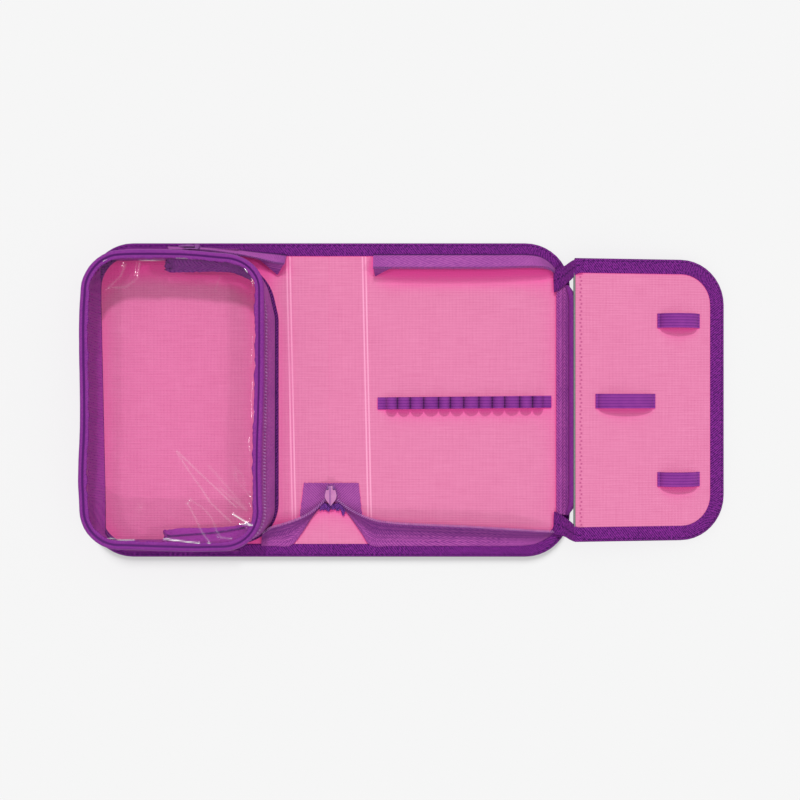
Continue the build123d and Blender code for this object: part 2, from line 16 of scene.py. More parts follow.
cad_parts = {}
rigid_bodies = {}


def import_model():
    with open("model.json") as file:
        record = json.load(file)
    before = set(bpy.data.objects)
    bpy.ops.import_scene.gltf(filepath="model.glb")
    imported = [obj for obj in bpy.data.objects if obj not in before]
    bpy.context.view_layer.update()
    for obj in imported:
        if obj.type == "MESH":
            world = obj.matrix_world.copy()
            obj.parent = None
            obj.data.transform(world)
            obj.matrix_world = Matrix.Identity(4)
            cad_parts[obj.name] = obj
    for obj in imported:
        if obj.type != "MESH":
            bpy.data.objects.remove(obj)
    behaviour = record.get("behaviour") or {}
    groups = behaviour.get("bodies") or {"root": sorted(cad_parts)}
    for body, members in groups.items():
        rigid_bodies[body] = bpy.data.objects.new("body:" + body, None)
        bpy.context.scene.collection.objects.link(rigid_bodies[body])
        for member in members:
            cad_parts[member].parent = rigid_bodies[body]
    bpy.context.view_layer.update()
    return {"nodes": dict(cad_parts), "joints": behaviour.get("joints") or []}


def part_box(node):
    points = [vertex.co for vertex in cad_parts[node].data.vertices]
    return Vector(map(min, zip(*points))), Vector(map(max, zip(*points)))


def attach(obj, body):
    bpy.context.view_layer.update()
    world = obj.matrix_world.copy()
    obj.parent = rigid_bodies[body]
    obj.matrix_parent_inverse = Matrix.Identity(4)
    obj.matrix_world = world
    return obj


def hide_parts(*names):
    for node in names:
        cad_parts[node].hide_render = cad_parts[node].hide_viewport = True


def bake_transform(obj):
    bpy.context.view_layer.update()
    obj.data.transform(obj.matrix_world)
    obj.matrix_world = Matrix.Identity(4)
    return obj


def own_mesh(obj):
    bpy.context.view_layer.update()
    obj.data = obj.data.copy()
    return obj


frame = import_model()
bpy.ops.object.select_all(action="DESELECT")
joints = {joint["name"]: joint for joint in frame["joints"]}
# The torn edges are drawn from this seed. Another one tears them elsewhere.
noise.seed_set(1796064577)

# %% [markdown]
# ## Sizes
# Nothing is typed twice: places are read from the boxes of the frame's nodes and from its joints. Only what
# the frame can't tell, such as the radius of a corner or the thickness of a cloth, is a number here.

# %% Sizes from the frame
MM = 0.001
fold_x = joints["right_fold"]["pos_m"][0]
edge_x, edge_y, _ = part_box("right_binding")[1]
lining_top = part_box("right_lining")[1].z
corner_radius = 30 * MM
sheet_inset = 1 * MM
print("case, mm:", round(2 * edge_x / MM, 1), "by", round(2 * edge_y / MM, 1))

# %% [markdown]
# ## Camera, table and light
# The picture was taken from straight above, over the middle of the page, so the camera looks down and the
# pocket's right wall shows while its left wall hides. The table is a pale sheet that keeps the case's
# shadow. Four lamps stand round the case, the strongest beyond its top edge, as in a light tent: each raised
# edge throws a faint, crisp shade on the lining. The world fills in from all round. Together they light a
# flat surface at about strength 1, so that a colour renders as it is written. They leave the table out,
# because the photograph shows a short shadow below the case alone: a steeper, wider lamp lights the table,
# and the table's own glow makes up what is missing to a pale page. The raised pieces, whose shadows the
# photograph lacks, are left out of that lamp's shadow at the end, and the elastic loops out of another's.

# %% Camera over the case
camera_height = 740 * MM
camera_x = 47.2 * MM
view_width = 536 * MM
camera_data = bpy.data.cameras.new("camera")
camera_data.angle = 2 * math.atan(view_width / 2 / camera_height)
camera = bpy.data.objects.new("camera", camera_data)
camera.location = (camera_x, 0, camera_height)
bpy.context.scene.collection.objects.link(camera)
bpy.context.scene.camera = camera
bpy.context.scene.view_settings.view_transform = "Standard"
print("view, mm:", round(view_width / MM), "from", round(camera_height / MM))


# %% Colours and nodes
def linear(hex_colour):
    """The linear colour that a shader takes, from an sRGB colour written in hex."""
    channels = [int(hex_colour[start:start + 2], 16) / 255 for start in (1, 3, 5)]
    return [c / 12.92 if c <= 0.04045 else ((c + 0.055) / 1.055) ** 2.4 for c in channels] + [1.0]


def add_node(tree, kind, *inputs, named=None, **settings):
    """Add a node: its inputs are linked or set, in order or by name, and settings are its own options."""
    node = tree.nodes.new("ShaderNode" + kind)
    for option, value in settings.items():
        setattr(node, option, value)
    for key, value in [*enumerate(inputs), *(named or {}).items()]:
        if isinstance(value, bpy.types.Node):
            value = value.outputs[0]
        if isinstance(value, bpy.types.NodeSocket):
            tree.links.new(value, node.inputs[key])
        elif value is not None:
            node.inputs[key].default_value = value
    return node


def new_material(name):
    """A material with an empty tree and its output, ready for a shader."""
    material = bpy.data.materials.new(name)
    material.use_nodes = True
    material.node_tree.nodes.clear()
    return material, material.node_tree, material.node_tree.nodes.new("ShaderNodeOutputMaterial")


def meets_page(tree):
    """1 for rays that should meet the plain page: straight from the camera, by gloss or through vinyl."""
    rays = add_node(tree, "LightPath")
    seen = add_node(
        tree, "Math", rays.outputs["Is Camera Ray"], rays.outputs["Is Glossy Ray"], operation="MAXIMUM")
    return add_node(tree, "Math", seen, rays.outputs["Is Transmission Ray"], operation="MAXIMUM")


# %% Table
table_size = 3.0
world_share = 0.50
# Each lamp: its share of the light, its tilt and spread in degrees, and the way that it leans.
lamp_shares = {
    "top_window": (0.32, 41, 5, (1, 0)),
    "bottom_window": (0.09, 43, 2, (-1, 0)),
    "right_window": (0.09, 38, 6, (0, -1)),
    "left_window": (0.08, 28, 6, (0, 1)),
    "table_lamp": (1.1, 53, 28, (1, 0)),
}

bpy.ops.mesh.primitive_plane_add(size=table_size, location=(0, 0, -0.05 * MM))
table = bpy.context.object
table.name = "table"
paper, tree, output = new_material("matt_paper")
page_white = 0.922
page_shade = 0.29
table_light = world_share + lamp_shares["table_lamp"][0]
lit = add_node(tree, "BsdfDiffuse", [page_white / table_light] * 3 + [1])
faintly_lit = add_node(tree, "BsdfDiffuse", [page_shade] * 3 + [1])
glow = add_node(tree, "Emission", linear("#FFFFFF"), page_white - page_shade * table_light)
shown = add_node(tree, "MixShader", meets_page(tree), lit, add_node(tree, "AddShader", faintly_lit, glow))
tree.links.new(shown.outputs[0], output.inputs[0])
table.data.materials.append(paper)
print("table, m:", table_size)

# %% Lamps
table_alone = bpy.data.collections.new("table_alone")
table_alone.objects.link(table)
all_but_table = bpy.data.collections.new("all_but_table")
all_but_table.objects.link(table)
all_but_table.collection_objects[0].light_linking.link_state = "EXCLUDE"
unshaded = {}
for lamp_name, (share, tilt, spread, (lean_x, lean_y)) in lamp_shares.items():
    tilt = math.radians(tilt)
    lamp_data = bpy.data.lights.new(lamp_name, "SUN")
    lamp_data.energy = share * math.pi / math.cos(tilt)
    lamp_data.angle = math.radians(spread)
    lamp = bpy.data.objects.new(lamp_name, lamp_data)
    lamp.rotation_euler = (-tilt * lean_x, -tilt * lean_y, 0)
    bpy.context.scene.collection.objects.link(lamp)
    lamp.light_linking.receiver_collection = table_alone if lamp_name == "table_lamp" else all_but_table
    if lamp_name in ("table_lamp", "bottom_window"):
        unshaded[lamp_name] = bpy.data.collections.new("casts_no_shade_of_" + lamp_name)
        lamp.light_linking.blocker_collection = unshaded[lamp_name]
print("lamps:", list(lamp_shares))

# %% World
world = bpy.data.worlds.new("studio")
bpy.context.scene.world = world
world.use_nodes = True
tree = world.node_tree
tree.nodes.clear()
strength = add_node(tree, "Mix", meets_page(tree), data_type="FLOAT")
strength.inputs["A"].default_value = world_share
strength.inputs["B"].default_value = 1.0
background = add_node(tree, "Background", linear("#FFFFFF"), strength)
tree.links.new(background.outputs[0], add_node(tree, "OutputWorld").inputs[0])
print("world:", world_share)

# %% [markdown]
# ## Cloth
# Every cloth of the case shows its weave, so each one is built the same way: a pattern of threads drives a
# small bump and a lighter and a darker shade of its dye, and a slow noise makes the dye uneven. The pattern
# follows the cloth's own UV map, which is laid in metres, so that it turns with the cloth when a panel folds.
# Threads finer than a pixel are drawn about a millimetre apart, or they would not show at all.


# %% Thread patterns
def wave(tree, value, pitch):
    """A sine over a length, with one turn in every pitch."""
    turned = add_node(tree, "Math", value, math.tau / pitch, operation="MULTIPLY")
    return add_node(tree, "Math", turned, operation="SINE")


def streaks(tree, place, scale_x, scale_y):
    """Long uneven threads along the axis with the lower scale, from -1 to 1."""
    stretched = add_node(tree, "Mapping", place, named={"Scale": (scale_x, scale_y, 1)})
    threads = add_node(tree, "TexNoise", named={"Vector": stretched, "Scale": 1.0, "Detail": 1.0})
    return add_node(tree, "Math", threads.outputs["Fac"], 4.0, -2.0, operation="MULTIPLY_ADD")


def plain_weave(tree, place, across, along, pitch):
    """Slubbed threads in both directions, as in lining cloth: those across the case stand out most."""
    weft = add_node(tree, "Math", streaks(tree, place, 60, 900), 0.7, operation="MULTIPLY")
    weft = add_node(tree, "Math", wave(tree, along, pitch), 0.7, weft, operation="MULTIPLY_ADD")
    warp = add_node(tree, "Math", streaks(tree, place, 900, 60), 0.5, weft, operation="MULTIPLY_ADD")
    return add_node(tree, "Math", wave(tree, across, pitch * 1.4), 0.35, warp, operation="MULTIPLY_ADD")


def herringbone(tree, place, across, along, pitch, column):
    """Slanted threads that turn back in columns, as on a zip tape."""
    zigzag = add_node(tree, "Math", across, column, operation="PINGPONG")
    ribs = wave(tree, add_node(tree, "Math", zigzag, 1.2, along, operation="MULTIPLY_ADD"), pitch)
    return add_node(tree, "Math", streaks(tree, place, 500, 500), 0.6, ribs, operation="MULTIPLY_ADD")


def slanted_ribs(tree, place, across, along, pitch, slant=0.8, fibre=700, loose=1.1):
    """Slanted ribs, broken up by loose fibre, as on edge binding."""
    slope = add_node(tree, "Math", across, slant, along, operation="MULTIPLY_ADD")
    fibres = streaks(tree, place, fibre, fibre)
    return add_node(tree, "Math", fibres, loose, wave(tree, slope, pitch), operation="MULTIPLY_ADD")


def elastic_ribs(tree, place, across, along, pitch):
    """Cords that run the length of an elastic, with a fine cross thread."""
    slub = add_node(tree, "Math", streaks(tree, place, 120, 120), 0.5, operation="MULTIPLY")
    return add_node(tree, "Math", wave(tree, across, pitch), slub, operation="ADD")


# %% One recipe for all cloth
def make_cloth(
        name, dark, light, pattern, depth, *sizes, contrast=0.25, dye_spread=0.5, roughness=0.85, sheen=0.03,
        marks=None, painted_shade=None):
    """A woven material: threads by pattern and its sizes, uneven dye, and a soft bloom of loose fibre.

    Where something hides the strongest lamp, beyond the case's top edge, a deeper colour is mixed in as
    painted shade. It stands for the light there, which the cloth beside it has already coloured.
    """
    material, tree, output = new_material(name)
    place = add_node(tree, "TexCoord").outputs["UV"]
    parts = add_node(tree, "SeparateXYZ", place)
    threads = pattern(tree, place, parts.outputs[0], parts.outputs[1], *sizes)
    fuzz = add_node(tree, "TexNoise", named={"Vector": place, "Scale": 900.0, "Detail": 2.0})
    dye = add_node(tree, "TexNoise", named={"Vector": place, "Scale": 40.0, "Detail": 3.0})
    mixed = add_node(tree, "Math", threads, contrast, 0.4 - dye_spread / 2, operation="MULTIPLY_ADD")
    mixed = add_node(tree, "Math", dye.outputs["Fac"], dye_spread, mixed, operation="MULTIPLY_ADD")
    mixed = add_node(tree, "Math", fuzz.outputs["Fac"], 0.2, mixed, operation="MULTIPLY_ADD", use_clamp=True)
    colour = add_node(tree, "Mix", mixed, data_type="RGBA")
    colour.inputs[6].default_value = linear(dark)
    colour.inputs[7].default_value = linear(light)
    dyed = colour.outputs[2]
    if marks:
        mark, mark_colour = marks(tree, parts.outputs[0], parts.outputs[1])
        marked = add_node(tree, "Mix", mark, data_type="RGBA")
        tree.links.new(dyed, marked.inputs[6])
        marked.inputs[7].default_value = linear(mark_colour)
        dyed = marked.outputs[2]
    # Painted shade: where an occlusion test leaned towards the strongest lamp finds the cloth hidden, the
    # deeper colour is mixed in.
    if painted_shade:
        towards_lamp = add_node(tree, "CombineXYZ", 0.1, 0.6, 0.79)
        open_sky = add_node(
            tree, "AmbientOcclusion", named={"Distance": 23 * MM, "Normal": towards_lamp}, samples=12)
        hidden = add_node(
            tree, "MapRange", named={"Value": open_sky.outputs["AO"], "From Min": 0.78, "From Max": 0.38})
        tinted = add_node(tree, "Mix", hidden, data_type="RGBA")
        tree.links.new(dyed, tinted.inputs[6])
        tinted.inputs[7].default_value = linear(painted_shade)
        dyed = tinted.outputs[2]
    height = add_node(tree, "Math", fuzz.outputs["Fac"], 0.6, threads, operation="MULTIPLY_ADD")
    bump = add_node(tree, "Bump", named={"Height": height, "Distance": depth, "Strength": 1.0})
    shader = add_node(tree, "BsdfPrincipled", named={
        "Base Color": dyed, "Roughness": roughness, "Normal": bump,
        "Specular IOR Level": 0.12, "Sheen Weight": sheen, "Sheen Roughness": 0.5,
    })
    tree.links.new(shader.outputs[0], output.inputs[0])
    return material


# %% Marks on cloth
def narrow_line(tree, distance, half_width):
    """1 where a distance is about zero, falling to 0 within half a width."""
    near = add_node(tree, "Math", distance, operation="ABSOLUTE")
    sharp = half_width * 0.3
    return add_node(tree, "MapRange", named={"Value": near, "From Min": half_width, "From Max": sharp})


def pressed_fold_highlights(tree, across, along):
    """Two pale lines beside each fold, painted highlights on the ridges where the cloth was pressed and
    creased, not quite square to it.
    """
    slant = 0.0218
    ridge = 1.05 * MM
    beside = add_node(tree, "Math", along, slant, across, operation="MULTIPLY_ADD")
    from_middle = add_node(tree, "Math", beside, operation="ABSOLUTE")
    from_fold = add_node(tree, "Math", from_middle, fold_x, operation="SUBTRACT")
    away = add_node(tree, "Math", from_fold, operation="ABSOLUTE")
    aside = add_node(tree, "Math", away, ridge, operation="SUBTRACT")
    return narrow_line(tree, aside, 0.7 * MM), "#FBA9CE"


def stitches(tree, across, along, inset, half_width, length, start, end):
    """A row of stitches at an inset, each of a length, with a gap where their wave is low."""
    row = narrow_line(tree, add_node(tree, "Math", across, inset, operation="SUBTRACT"), half_width)
    run = wave(tree, along, length)
    gaps = add_node(tree, "MapRange", named={"Value": run, "From Min": start, "From Max": end})
    return add_node(tree, "Math", row, gaps, operation="MULTIPLY")


def sewn_line_shade(tree, across, along):
    """A row of stitches near the outer edge of the binding, sunk in their own shade, which is painted dark."""
    return stitches(tree, across, along, 5.4 * MM, 0.55 * MM, 3.4 * MM, -0.7, -0.1), "#3A0A50"


def welt_groove_shade(tree, across, along):
    """The dark line between the rim's welt and the band inside it, painted shade in their groove."""
    welt = 33.65 * MM
    inset = add_node(tree, "Math", across, welt, operation="SUBTRACT")
    return narrow_line(tree, inset, 0.45 * MM), "#551468"


def shaded_edge(tree, across, along):
    """Painted shade on the tape's upper half, for the shade of its own curl, with faint lengthwise bands of
    painted shade for its folds.
    """
    upper = add_node(tree, "MapRange", named={"Value": across, "From Min": 5 * MM, "From Max": 11 * MM})
    folds = add_node(tree, "Math", wave(tree, across, 2.9 * MM), 0.14, 0.1, operation="MULTIPLY_ADD")
    return add_node(tree, "Math", upper, 0.4, folds, operation="MULTIPLY_ADD", use_clamp=True), "#5A1A70"


def sewn_shade(tree, across, along):
    """Painted shade in the gap where a tape dives under the binding at its sewn edge."""
    return narrow_line(tree, across, 1.5 * MM), "#3A0E50"


def zigzag_stitches(tree, across, along):
    """A zigzag seam that holds the flap's lining beside its hinge."""
    step = add_node(tree, "Math", wave(tree, along, 5.0 * MM), operation="SIGN")
    beside = add_node(tree, "Math", step, 0.35 * MM, across, operation="MULTIPLY_ADD")
    return stitches(tree, beside, along, 2.4 * MM, 0.95 * MM, 2.5 * MM, -0.6, 0.2), "#C45C8E"


# %% [markdown]
# ## The case's cloths
# The lining is a thin plain weave, drawn with 1.6 mm between threads, as the real ones are finer and would
# vanish at this distance. Its dye is even and it hardly shines. Bindings and tapes are thicker, so their ribs
# catch more light and more shade than the lining.

# %% Lining, cover and binding
# Lining and flap differ only in their seams: pressed folds with painted highlights on the one, a zigzag by the
# hinge on the other.
# The deeper pink is painted shade, mixed in where the lining is hidden from the strongest lamp.
lining_look = {"contrast": 0.13, "dye_spread": 0.15, "painted_shade": "#FF54AC"}
lining_weave = ("#D26997", "#F294BE", plain_weave, 0.04 * MM, 1.6 * MM)
lining_cloth = make_cloth("woven_nylon_lining", *lining_weave, marks=pressed_fold_highlights, **lining_look)
flap_cloth = make_cloth("woven_nylon_flap_lining", *lining_weave, marks=zigzag_stitches, **lining_look)
# The cover is the same nylon, dyed a flat purple.
cover_cloth = make_cloth("woven_nylon_cover", "#4E1664", "#742A86", plain_weave, 0.08 * MM, 1.5 * MM)
# Twill 1.6 mm from rib to rib: coarse, matt and streaky, with its seam sunk near the inner edge in painted
# shade.
binding_twill = make_cloth(
    "twill_binding", "#440E5A", "#902E9A", slanted_ribs, 0.12 * MM, 1.6 * MM, contrast=0.45,
    marks=sewn_line_shade)
# The pocket's foot is a corded edging: its ribs stand up more and its hollows look almost black.
base_edging = make_cloth(
    "corded_base_edging", "#3A0C50", "#7A2C8A", slanted_ribs, 0.2 * MM, 1.9 * MM, contrast=0.6)
print("cloths:", lining_cloth.name, flap_cloth.name, cover_cloth.name, binding_twill.name, base_edging.name)

# %% Zip tapes
# Herringbone polyester, its columns 4 mm wide. It is paler than the binding where it curls up to the light.
# Painted shade darkens its upper half and its folds.
zip_tape = make_cloth(
    "herringbone_zip_tape", "#6E1E7C", "#D066C0", herringbone, 0.12 * MM, 2.1 * MM, 4.0 * MM, contrast=0.28,
    marks=shaded_edge)
# The pocket's tape stands upright, and dives under the binding, with painted shade in the gap at its sewn
# edge.
wall_tape = make_cloth(
    "pocket_zip_tape", "#7A2A86", "#C264B8", herringbone, 0.12 * MM, 2.3 * MM, 4.2 * MM, contrast=0.22,
    marks=sewn_shade)
# Seen through the vinyl inside the pocket, the tape is drawn in darker, duller colours, as painted shade, and
# its ribs are 1.8 mm apart.
inner_tape = make_cloth(
    "inner_zip_tape", "#5C1A70", "#923C9A", herringbone, 0.1 * MM, 1.8 * MM, 3.0 * MM, contrast=0.25)
# Under the slider, two tapes are joined and their ribs make one wide chevron.
tab_tape = make_cloth(
    "herringbone_tail_tape", "#7A2A86", "#BE62B2", slanted_ribs, 0.12 * MM, 1.8 * MM, -1.0, 500, 0.35,
    contrast=0.24)
# Cut tape frays into loose polyester thread, dark between and pale on top.
frayed_thread = make_cloth(
    "frayed_polyester_thread", "#4A1A6E", "#8A44A8", slanted_ribs, 0.1 * MM, 1.2 * MM, contrast=0.6)
print("tapes:", zip_tape.name, wall_tape.name, inner_tape.name, tab_tape.name, frayed_thread.name)

# %% Elastic, gusset and piping
# Ribbed elastic has its rubber cords 1.9 mm apart, under a smooth thread: even ribs, a little shade between.
elastic_cloth = make_cloth(
    "ribbed_elastic", "#641E7C", "#A244A6", elastic_ribs, 0.1 * MM, 1.9 * MM, contrast=0.2)
# The gusset is a light, flat twill that has to fold, so its ribs are low.
gusset_cloth = make_cloth(
    "gusset_twill", "#862692", "#B044AC", slanted_ribs, 0.05 * MM, 1.8 * MM, contrast=0.16)
# Sateen piping is smoother than twill, with a soft shine over its roll.
piping_cloth = make_cloth(
    "piping_sateen", "#681C7C", "#943494", slanted_ribs, 0.05 * MM, 1.6 * MM, contrast=0.2, roughness=0.55)
# The rim's dark groove line beside its welt is painted shade.
rim_cloth = make_cloth(
    "piped_rim_sateen", "#6C1E80", "#9C3C9E", slanted_ribs, 0.05 * MM, 1.6 * MM, contrast=0.2, roughness=0.5,
    marks=welt_groove_shade)
print("others:", elastic_cloth.name, gusset_cloth.name, piping_cloth.name, rim_cloth.name)

# %% [markdown]
# ## Card, painted metal and nylon teeth
# The stiff boards are grey-green card, of which a thin cut edge shows beside the flap's hinge. Sliders and
# pulls are die-cast zinc under enamel; the pull is drawn a deeper colour along its leaf's ridge, and the
# enamel is thin and bright on its rim. Teeth are moulded or wound nylon, glossier than the tape.


# %% Card, enamel and nylon
def make_hard(name, dark, light, scale, roughness, height, ridge=None, **own):
    """A hard material whose colour wanders between two, drawn deeper along a line at an X place, where a ridge
    is.
    """
    material, tree, output = new_material(name)
    place = add_node(tree, "TexCoord").outputs["Object"]
    patches = add_node(tree, "TexNoise", named={"Vector": place, "Scale": scale, "Detail": 3.0})
    colour = add_node(tree, "Mix", patches.outputs["Fac"], data_type="RGBA")
    colour.inputs[6].default_value = linear(dark)
    colour.inputs[7].default_value = linear(light)
    if ridge is not None:
        beside = add_node(tree, "Math", add_node(tree, "SeparateXYZ", place), ridge, operation="SUBTRACT")
        ridge_darkened = add_node(tree, "Mix", narrow_line(tree, beside, 0.75 * MM), data_type="RGBA")
        tree.links.new(colour.outputs[2], ridge_darkened.inputs[6])
        ridge_darkened.inputs[7].default_value = linear("#95509A")
        colour = ridge_darkened
    bump = add_node(tree, "Bump", named={"Height": patches.outputs["Fac"], "Distance": height})
    rough = add_node(tree, "Math", patches.outputs["Fac"], 0.15, roughness - 0.075, operation="MULTIPLY_ADD")
    shader = add_node(tree, "BsdfPrincipled", named={
        "Base Color": colour.outputs[2], "Roughness": rough, "Normal": bump, **own,
    })
    tree.links.new(shader.outputs[0], output.inputs[0])
    return material


# Pressed card is dry and fibrous: a pale grey-green cut edge with specks of about 1.4 mm.
grey_card = make_hard("grey_pressed_card", "#66726C", "#8E9890", 700.0, 0.9, 0.05 * MM)
# Nylon wire is smooth, so each turn of the coil has its own small glint.
coil_nylon = make_hard("nylon_coil", "#8A3C9C", "#DC9ADA", 260.0, 0.5, 0.02 * MM, IOR=1.53)
moulded_nylon = make_hard("moulded_nylon_teeth", "#6E2A86", "#A85CB0", 500.0, 0.4, 0.02 * MM, IOR=1.53)
# Zinc under enamel: hard, even and glossy, in a deeper purple than its pull.
slider_enamel = make_hard("enamelled_zinc_slider", "#6A2A7E", "#9A4CA0", 180.0, 0.3, 0.02 * MM, IOR=1.5)
tail_x = joints["zip_pull_turn"]["pos_m"][0]
pull_enamel = make_hard(
    "enamelled_zinc_pull", "#B867A8", "#D08ABC", 320.0, 0.32, 0.03 * MM, ridge=tail_x - 0.4 * MM, IOR=1.5)

# %% [markdown]
# ## Helpers for modelling
# Soft strips are drawn in steps. A section is drawn point by point, pulled along straight runs and spun round
# corners. Each finished piece keeps its object at the origin, with its place in its mesh.


# %% Modelling helpers
merge_reach = 0.01 * MM


def take(piece):
    """Make this the only selected piece, and the active one."""
    bpy.ops.object.select_all(action="DESELECT")
    piece.select_set(True)
    bpy.context.view_layer.objects.active = piece


def draw_section(name, points):
    """A new piece that starts as a line of points, selected in edit mode."""
    mesh = bpy.data.meshes.new(name)
    mesh.from_pydata(points, [(number, number + 1) for number in range(len(points) - 1)], [])
    piece = bpy.data.objects.new(name, mesh)
    bpy.context.scene.collection.objects.link(piece)
    take(piece)
    bpy.ops.object.mode_set(mode="EDIT")
    bpy.ops.mesh.select_mode(type="VERT")
    bpy.ops.mesh.select_all(action="SELECT")
    return piece


def pull(*steps):
    """Extrude what is selected, step by step."""
    for step in steps:
        bpy.ops.mesh.extrude_region_move(TRANSFORM_OT_translate={"value": step})


def pull_along(axis, start, stations):
    """Extrude what is selected from start to each of these places on an axis: 0 is X, 1 is Y."""
    for station in stations:
        step = [0, 0, 0]
        step[axis] = station - start
        pull(step)
        start = station


def turn_corner(centre, clockwise, steps=10):
    """Spin what is selected a quarter turn about an upright axis."""
    angle = math.pi / 2 * (1 if clockwise else -1)
    bpy.ops.mesh.spin(steps=steps, angle=angle, center=centre, axis=(0, 0, 1))


def pick(piece, test):
    """Select, in edit mode, the vertices whose place passes the test."""
    shape = bmesh.from_edit_mesh(piece.data)
    bpy.ops.mesh.select_all(action="DESELECT")
    for corner in shape.verts:
        corner.select = test(corner.co)
    shape.select_flush(True)
    bmesh.update_edit_mesh(piece.data)


def end_edit(piece):
    """Merge doubled points, turn the faces outwards and leave edit mode."""
    bpy.ops.mesh.select_all(action="SELECT")
    bpy.ops.mesh.remove_doubles(threshold=merge_reach)
    bpy.ops.mesh.normals_make_consistent(inside=False)
    bpy.ops.object.mode_set(mode="OBJECT")
    bpy.ops.object.shade_smooth()
    return piece


def thicken(piece, thickness, offset=0.0):
    """Give a sheet its thickness, about its middle, or outwards with offset 1 and inwards with -1."""
    take(piece)
    wall = piece.modifiers.new("thickness", "SOLIDIFY")
    wall.thickness = thickness
    wall.offset = offset
    wall.use_even_offset = True
    bpy.ops.object.modifier_apply(modifier=wall.name)
    bpy.ops.object.shade_smooth_by_angle(angle=math.radians(50))
    return piece


# %% Ways to start and end a piece
def start_grid(name, columns, rows):
    """A flat grid, whose points are moved to their places afterwards."""
    bpy.ops.mesh.primitive_grid_add(x_subdivisions=columns, y_subdivisions=rows, size=1)
    piece = bpy.context.object
    piece.name = name
    piece.data.uv_layers[0].name = "cloth"
    return piece


def start_sheet(name, size, middle, radius, rounded=lambda point: True):
    """A flat rectangle in edit mode, with the corners that pass the test rounded."""
    bpy.ops.mesh.primitive_plane_add(size=1, enter_editmode=True)
    sheet = bpy.context.object
    sheet.name = name
    bpy.ops.transform.resize(value=(*size, 1))
    bpy.ops.transform.translate(value=middle)
    pick(sheet, rounded)
    bpy.ops.mesh.bevel(offset=radius, segments=12, affect="VERTICES")
    return sheet


def start_curve(name, wire, resolution):
    """An empty curve that will be a wire of this radius."""
    curve = bpy.data.curves.new(name, "CURVE")
    curve.dimensions = "3D"
    curve.bevel_depth = wire
    curve.bevel_resolution = resolution
    return curve


def end_curve(name, curve):
    """Turn a curve into a piece with its cloth's UV map."""
    piece = bpy.data.objects.new(name, curve)
    bpy.context.scene.collection.objects.link(piece)
    take(piece)
    bpy.ops.object.convert(target="MESH")
    lay_uv(bpy.context.object, flat_place)
    return bpy.context.object


# %% UV maps
def lay_uv(piece, place, whole=None):
    """Write the cloth's UV map in metres. A face across the seam of a closed run, whole long, is mended."""
    layers = piece.data.uv_layers
    layer = layers[0] if layers else layers.new()
    layer.name = "cloth"
    for face in piece.data.polygons:
        spots = [place(piece.data.vertices[corner].co) for corner in face.vertices]
        far = max(along for along, across in spots)
        for loop, (along, across) in zip(face.loop_indices, spots):
            if whole and far - along > whole / 2:
                along += whole
            layer.data[loop].uv = (across, along)


def flat_place(point):
    """The UV place of a flat cloth: along Y and across X."""
    return point.y, point.x


def round_edge(low, high, radius):
    """For cloth that runs round a rounded outline: how far along it a point lies, and how far in and up."""
    middle = ((low[0] + high[0]) / 2, (low[1] + high[1]) / 2)
    run_x, run_y = (high[0] - low[0]) / 2 - radius, (high[1] - low[1]) / 2 - radius
    hair = 1e-9

    def place(point):
        x, y = point[0] - middle[0], point[1] - middle[1]
        near_x, near_y = max(-run_x, min(run_x, x)), max(-run_y, min(run_y, y))
        turn = math.atan2(y - near_y, x - near_x) % math.tau
        straight = (
            near_y,
            run_y + run_x - near_x,
            2 * run_y + 2 * run_x - near_y,
            3 * run_y + 3 * run_x + near_x,
        )[int(turn / (math.pi / 2) + hair) % 4]
        return straight + radius * turn, radius - math.hypot(x - near_x, y - near_y) + point[2]

    return place, 4 * (run_x + run_y) + math.tau * radius


# %% Dressing
def dress(piece, material, slot, *nodes):
    """Give a finished piece its material, and let it stand for its nodes. The slot is not used."""
    piece.data.materials.clear()
    piece.data.materials.append(material)
    if nodes:
        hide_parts(*nodes)
    return piece


def finish_rigid(material, slot, bevel, *names):
    """Give rigid pieces of the frame their material, and round their edges a little."""
    for name in names:
        piece = frame["nodes"][name]
        piece.data.materials.clear()
        piece.data.materials.append(material)
        weld = piece.modifiers.new("weld", "WELD")
        weld.merge_threshold = 0.002 * MM
        rounding = piece.modifiers.new("rounding", "BEVEL")
        rounding.width = bevel
        rounding.segments = 2
        rounding.limit_method = "ANGLE"
        rounding.angle_limit = math.radians(35)
        rounding.harden_normals = False


# %% Rigid pieces
finish_rigid(grey_card, "board", 0.1 * MM, "spine_board", "left_board", "right_board", "flap_board")
finish_rigid(pull_enamel, "pull_plastic", 0.35 * MM, "zip_pull")
finish_rigid(slider_enamel, "slider_metal", 0.25 * MM, "zip_slider", "pocket_slider", "pocket_pull")
finish_rigid(moulded_nylon, "zip_teeth", 0.1 * MM, "zip_tail_chain")
print("rigid pieces:", sum(len(node.modifiers) == 2 for node in frame["nodes"].values()))

# %% [markdown]
# ## Lining and cover
# The lining is one cloth glued over the three cards and pressed into a groove at each fold, where the
# photograph shows two fine raised lines. The cloth is made in two halves, each a sheet that reaches from the
# panel's edge to the middle of the spine. Cuts across the sheet beside the fold line give it the points that
# it needs for the groove and for the bend.

# %% Lining and cover sheets
half_offsets = (0.4, 0.95, 1.35, 1.75, 2.2, 3, 4, 5)
groove_offsets = [-offset * MM for offset in half_offsets[::-1]] + [offset * MM for offset in half_offsets]
groove_ridge = 1.35 * MM
groove_rise = 0.15 * MM
groove_sink = 0.1 * MM
half_overlap = 2.0 * MM
panel_names = {1: "right", -1: "left"}


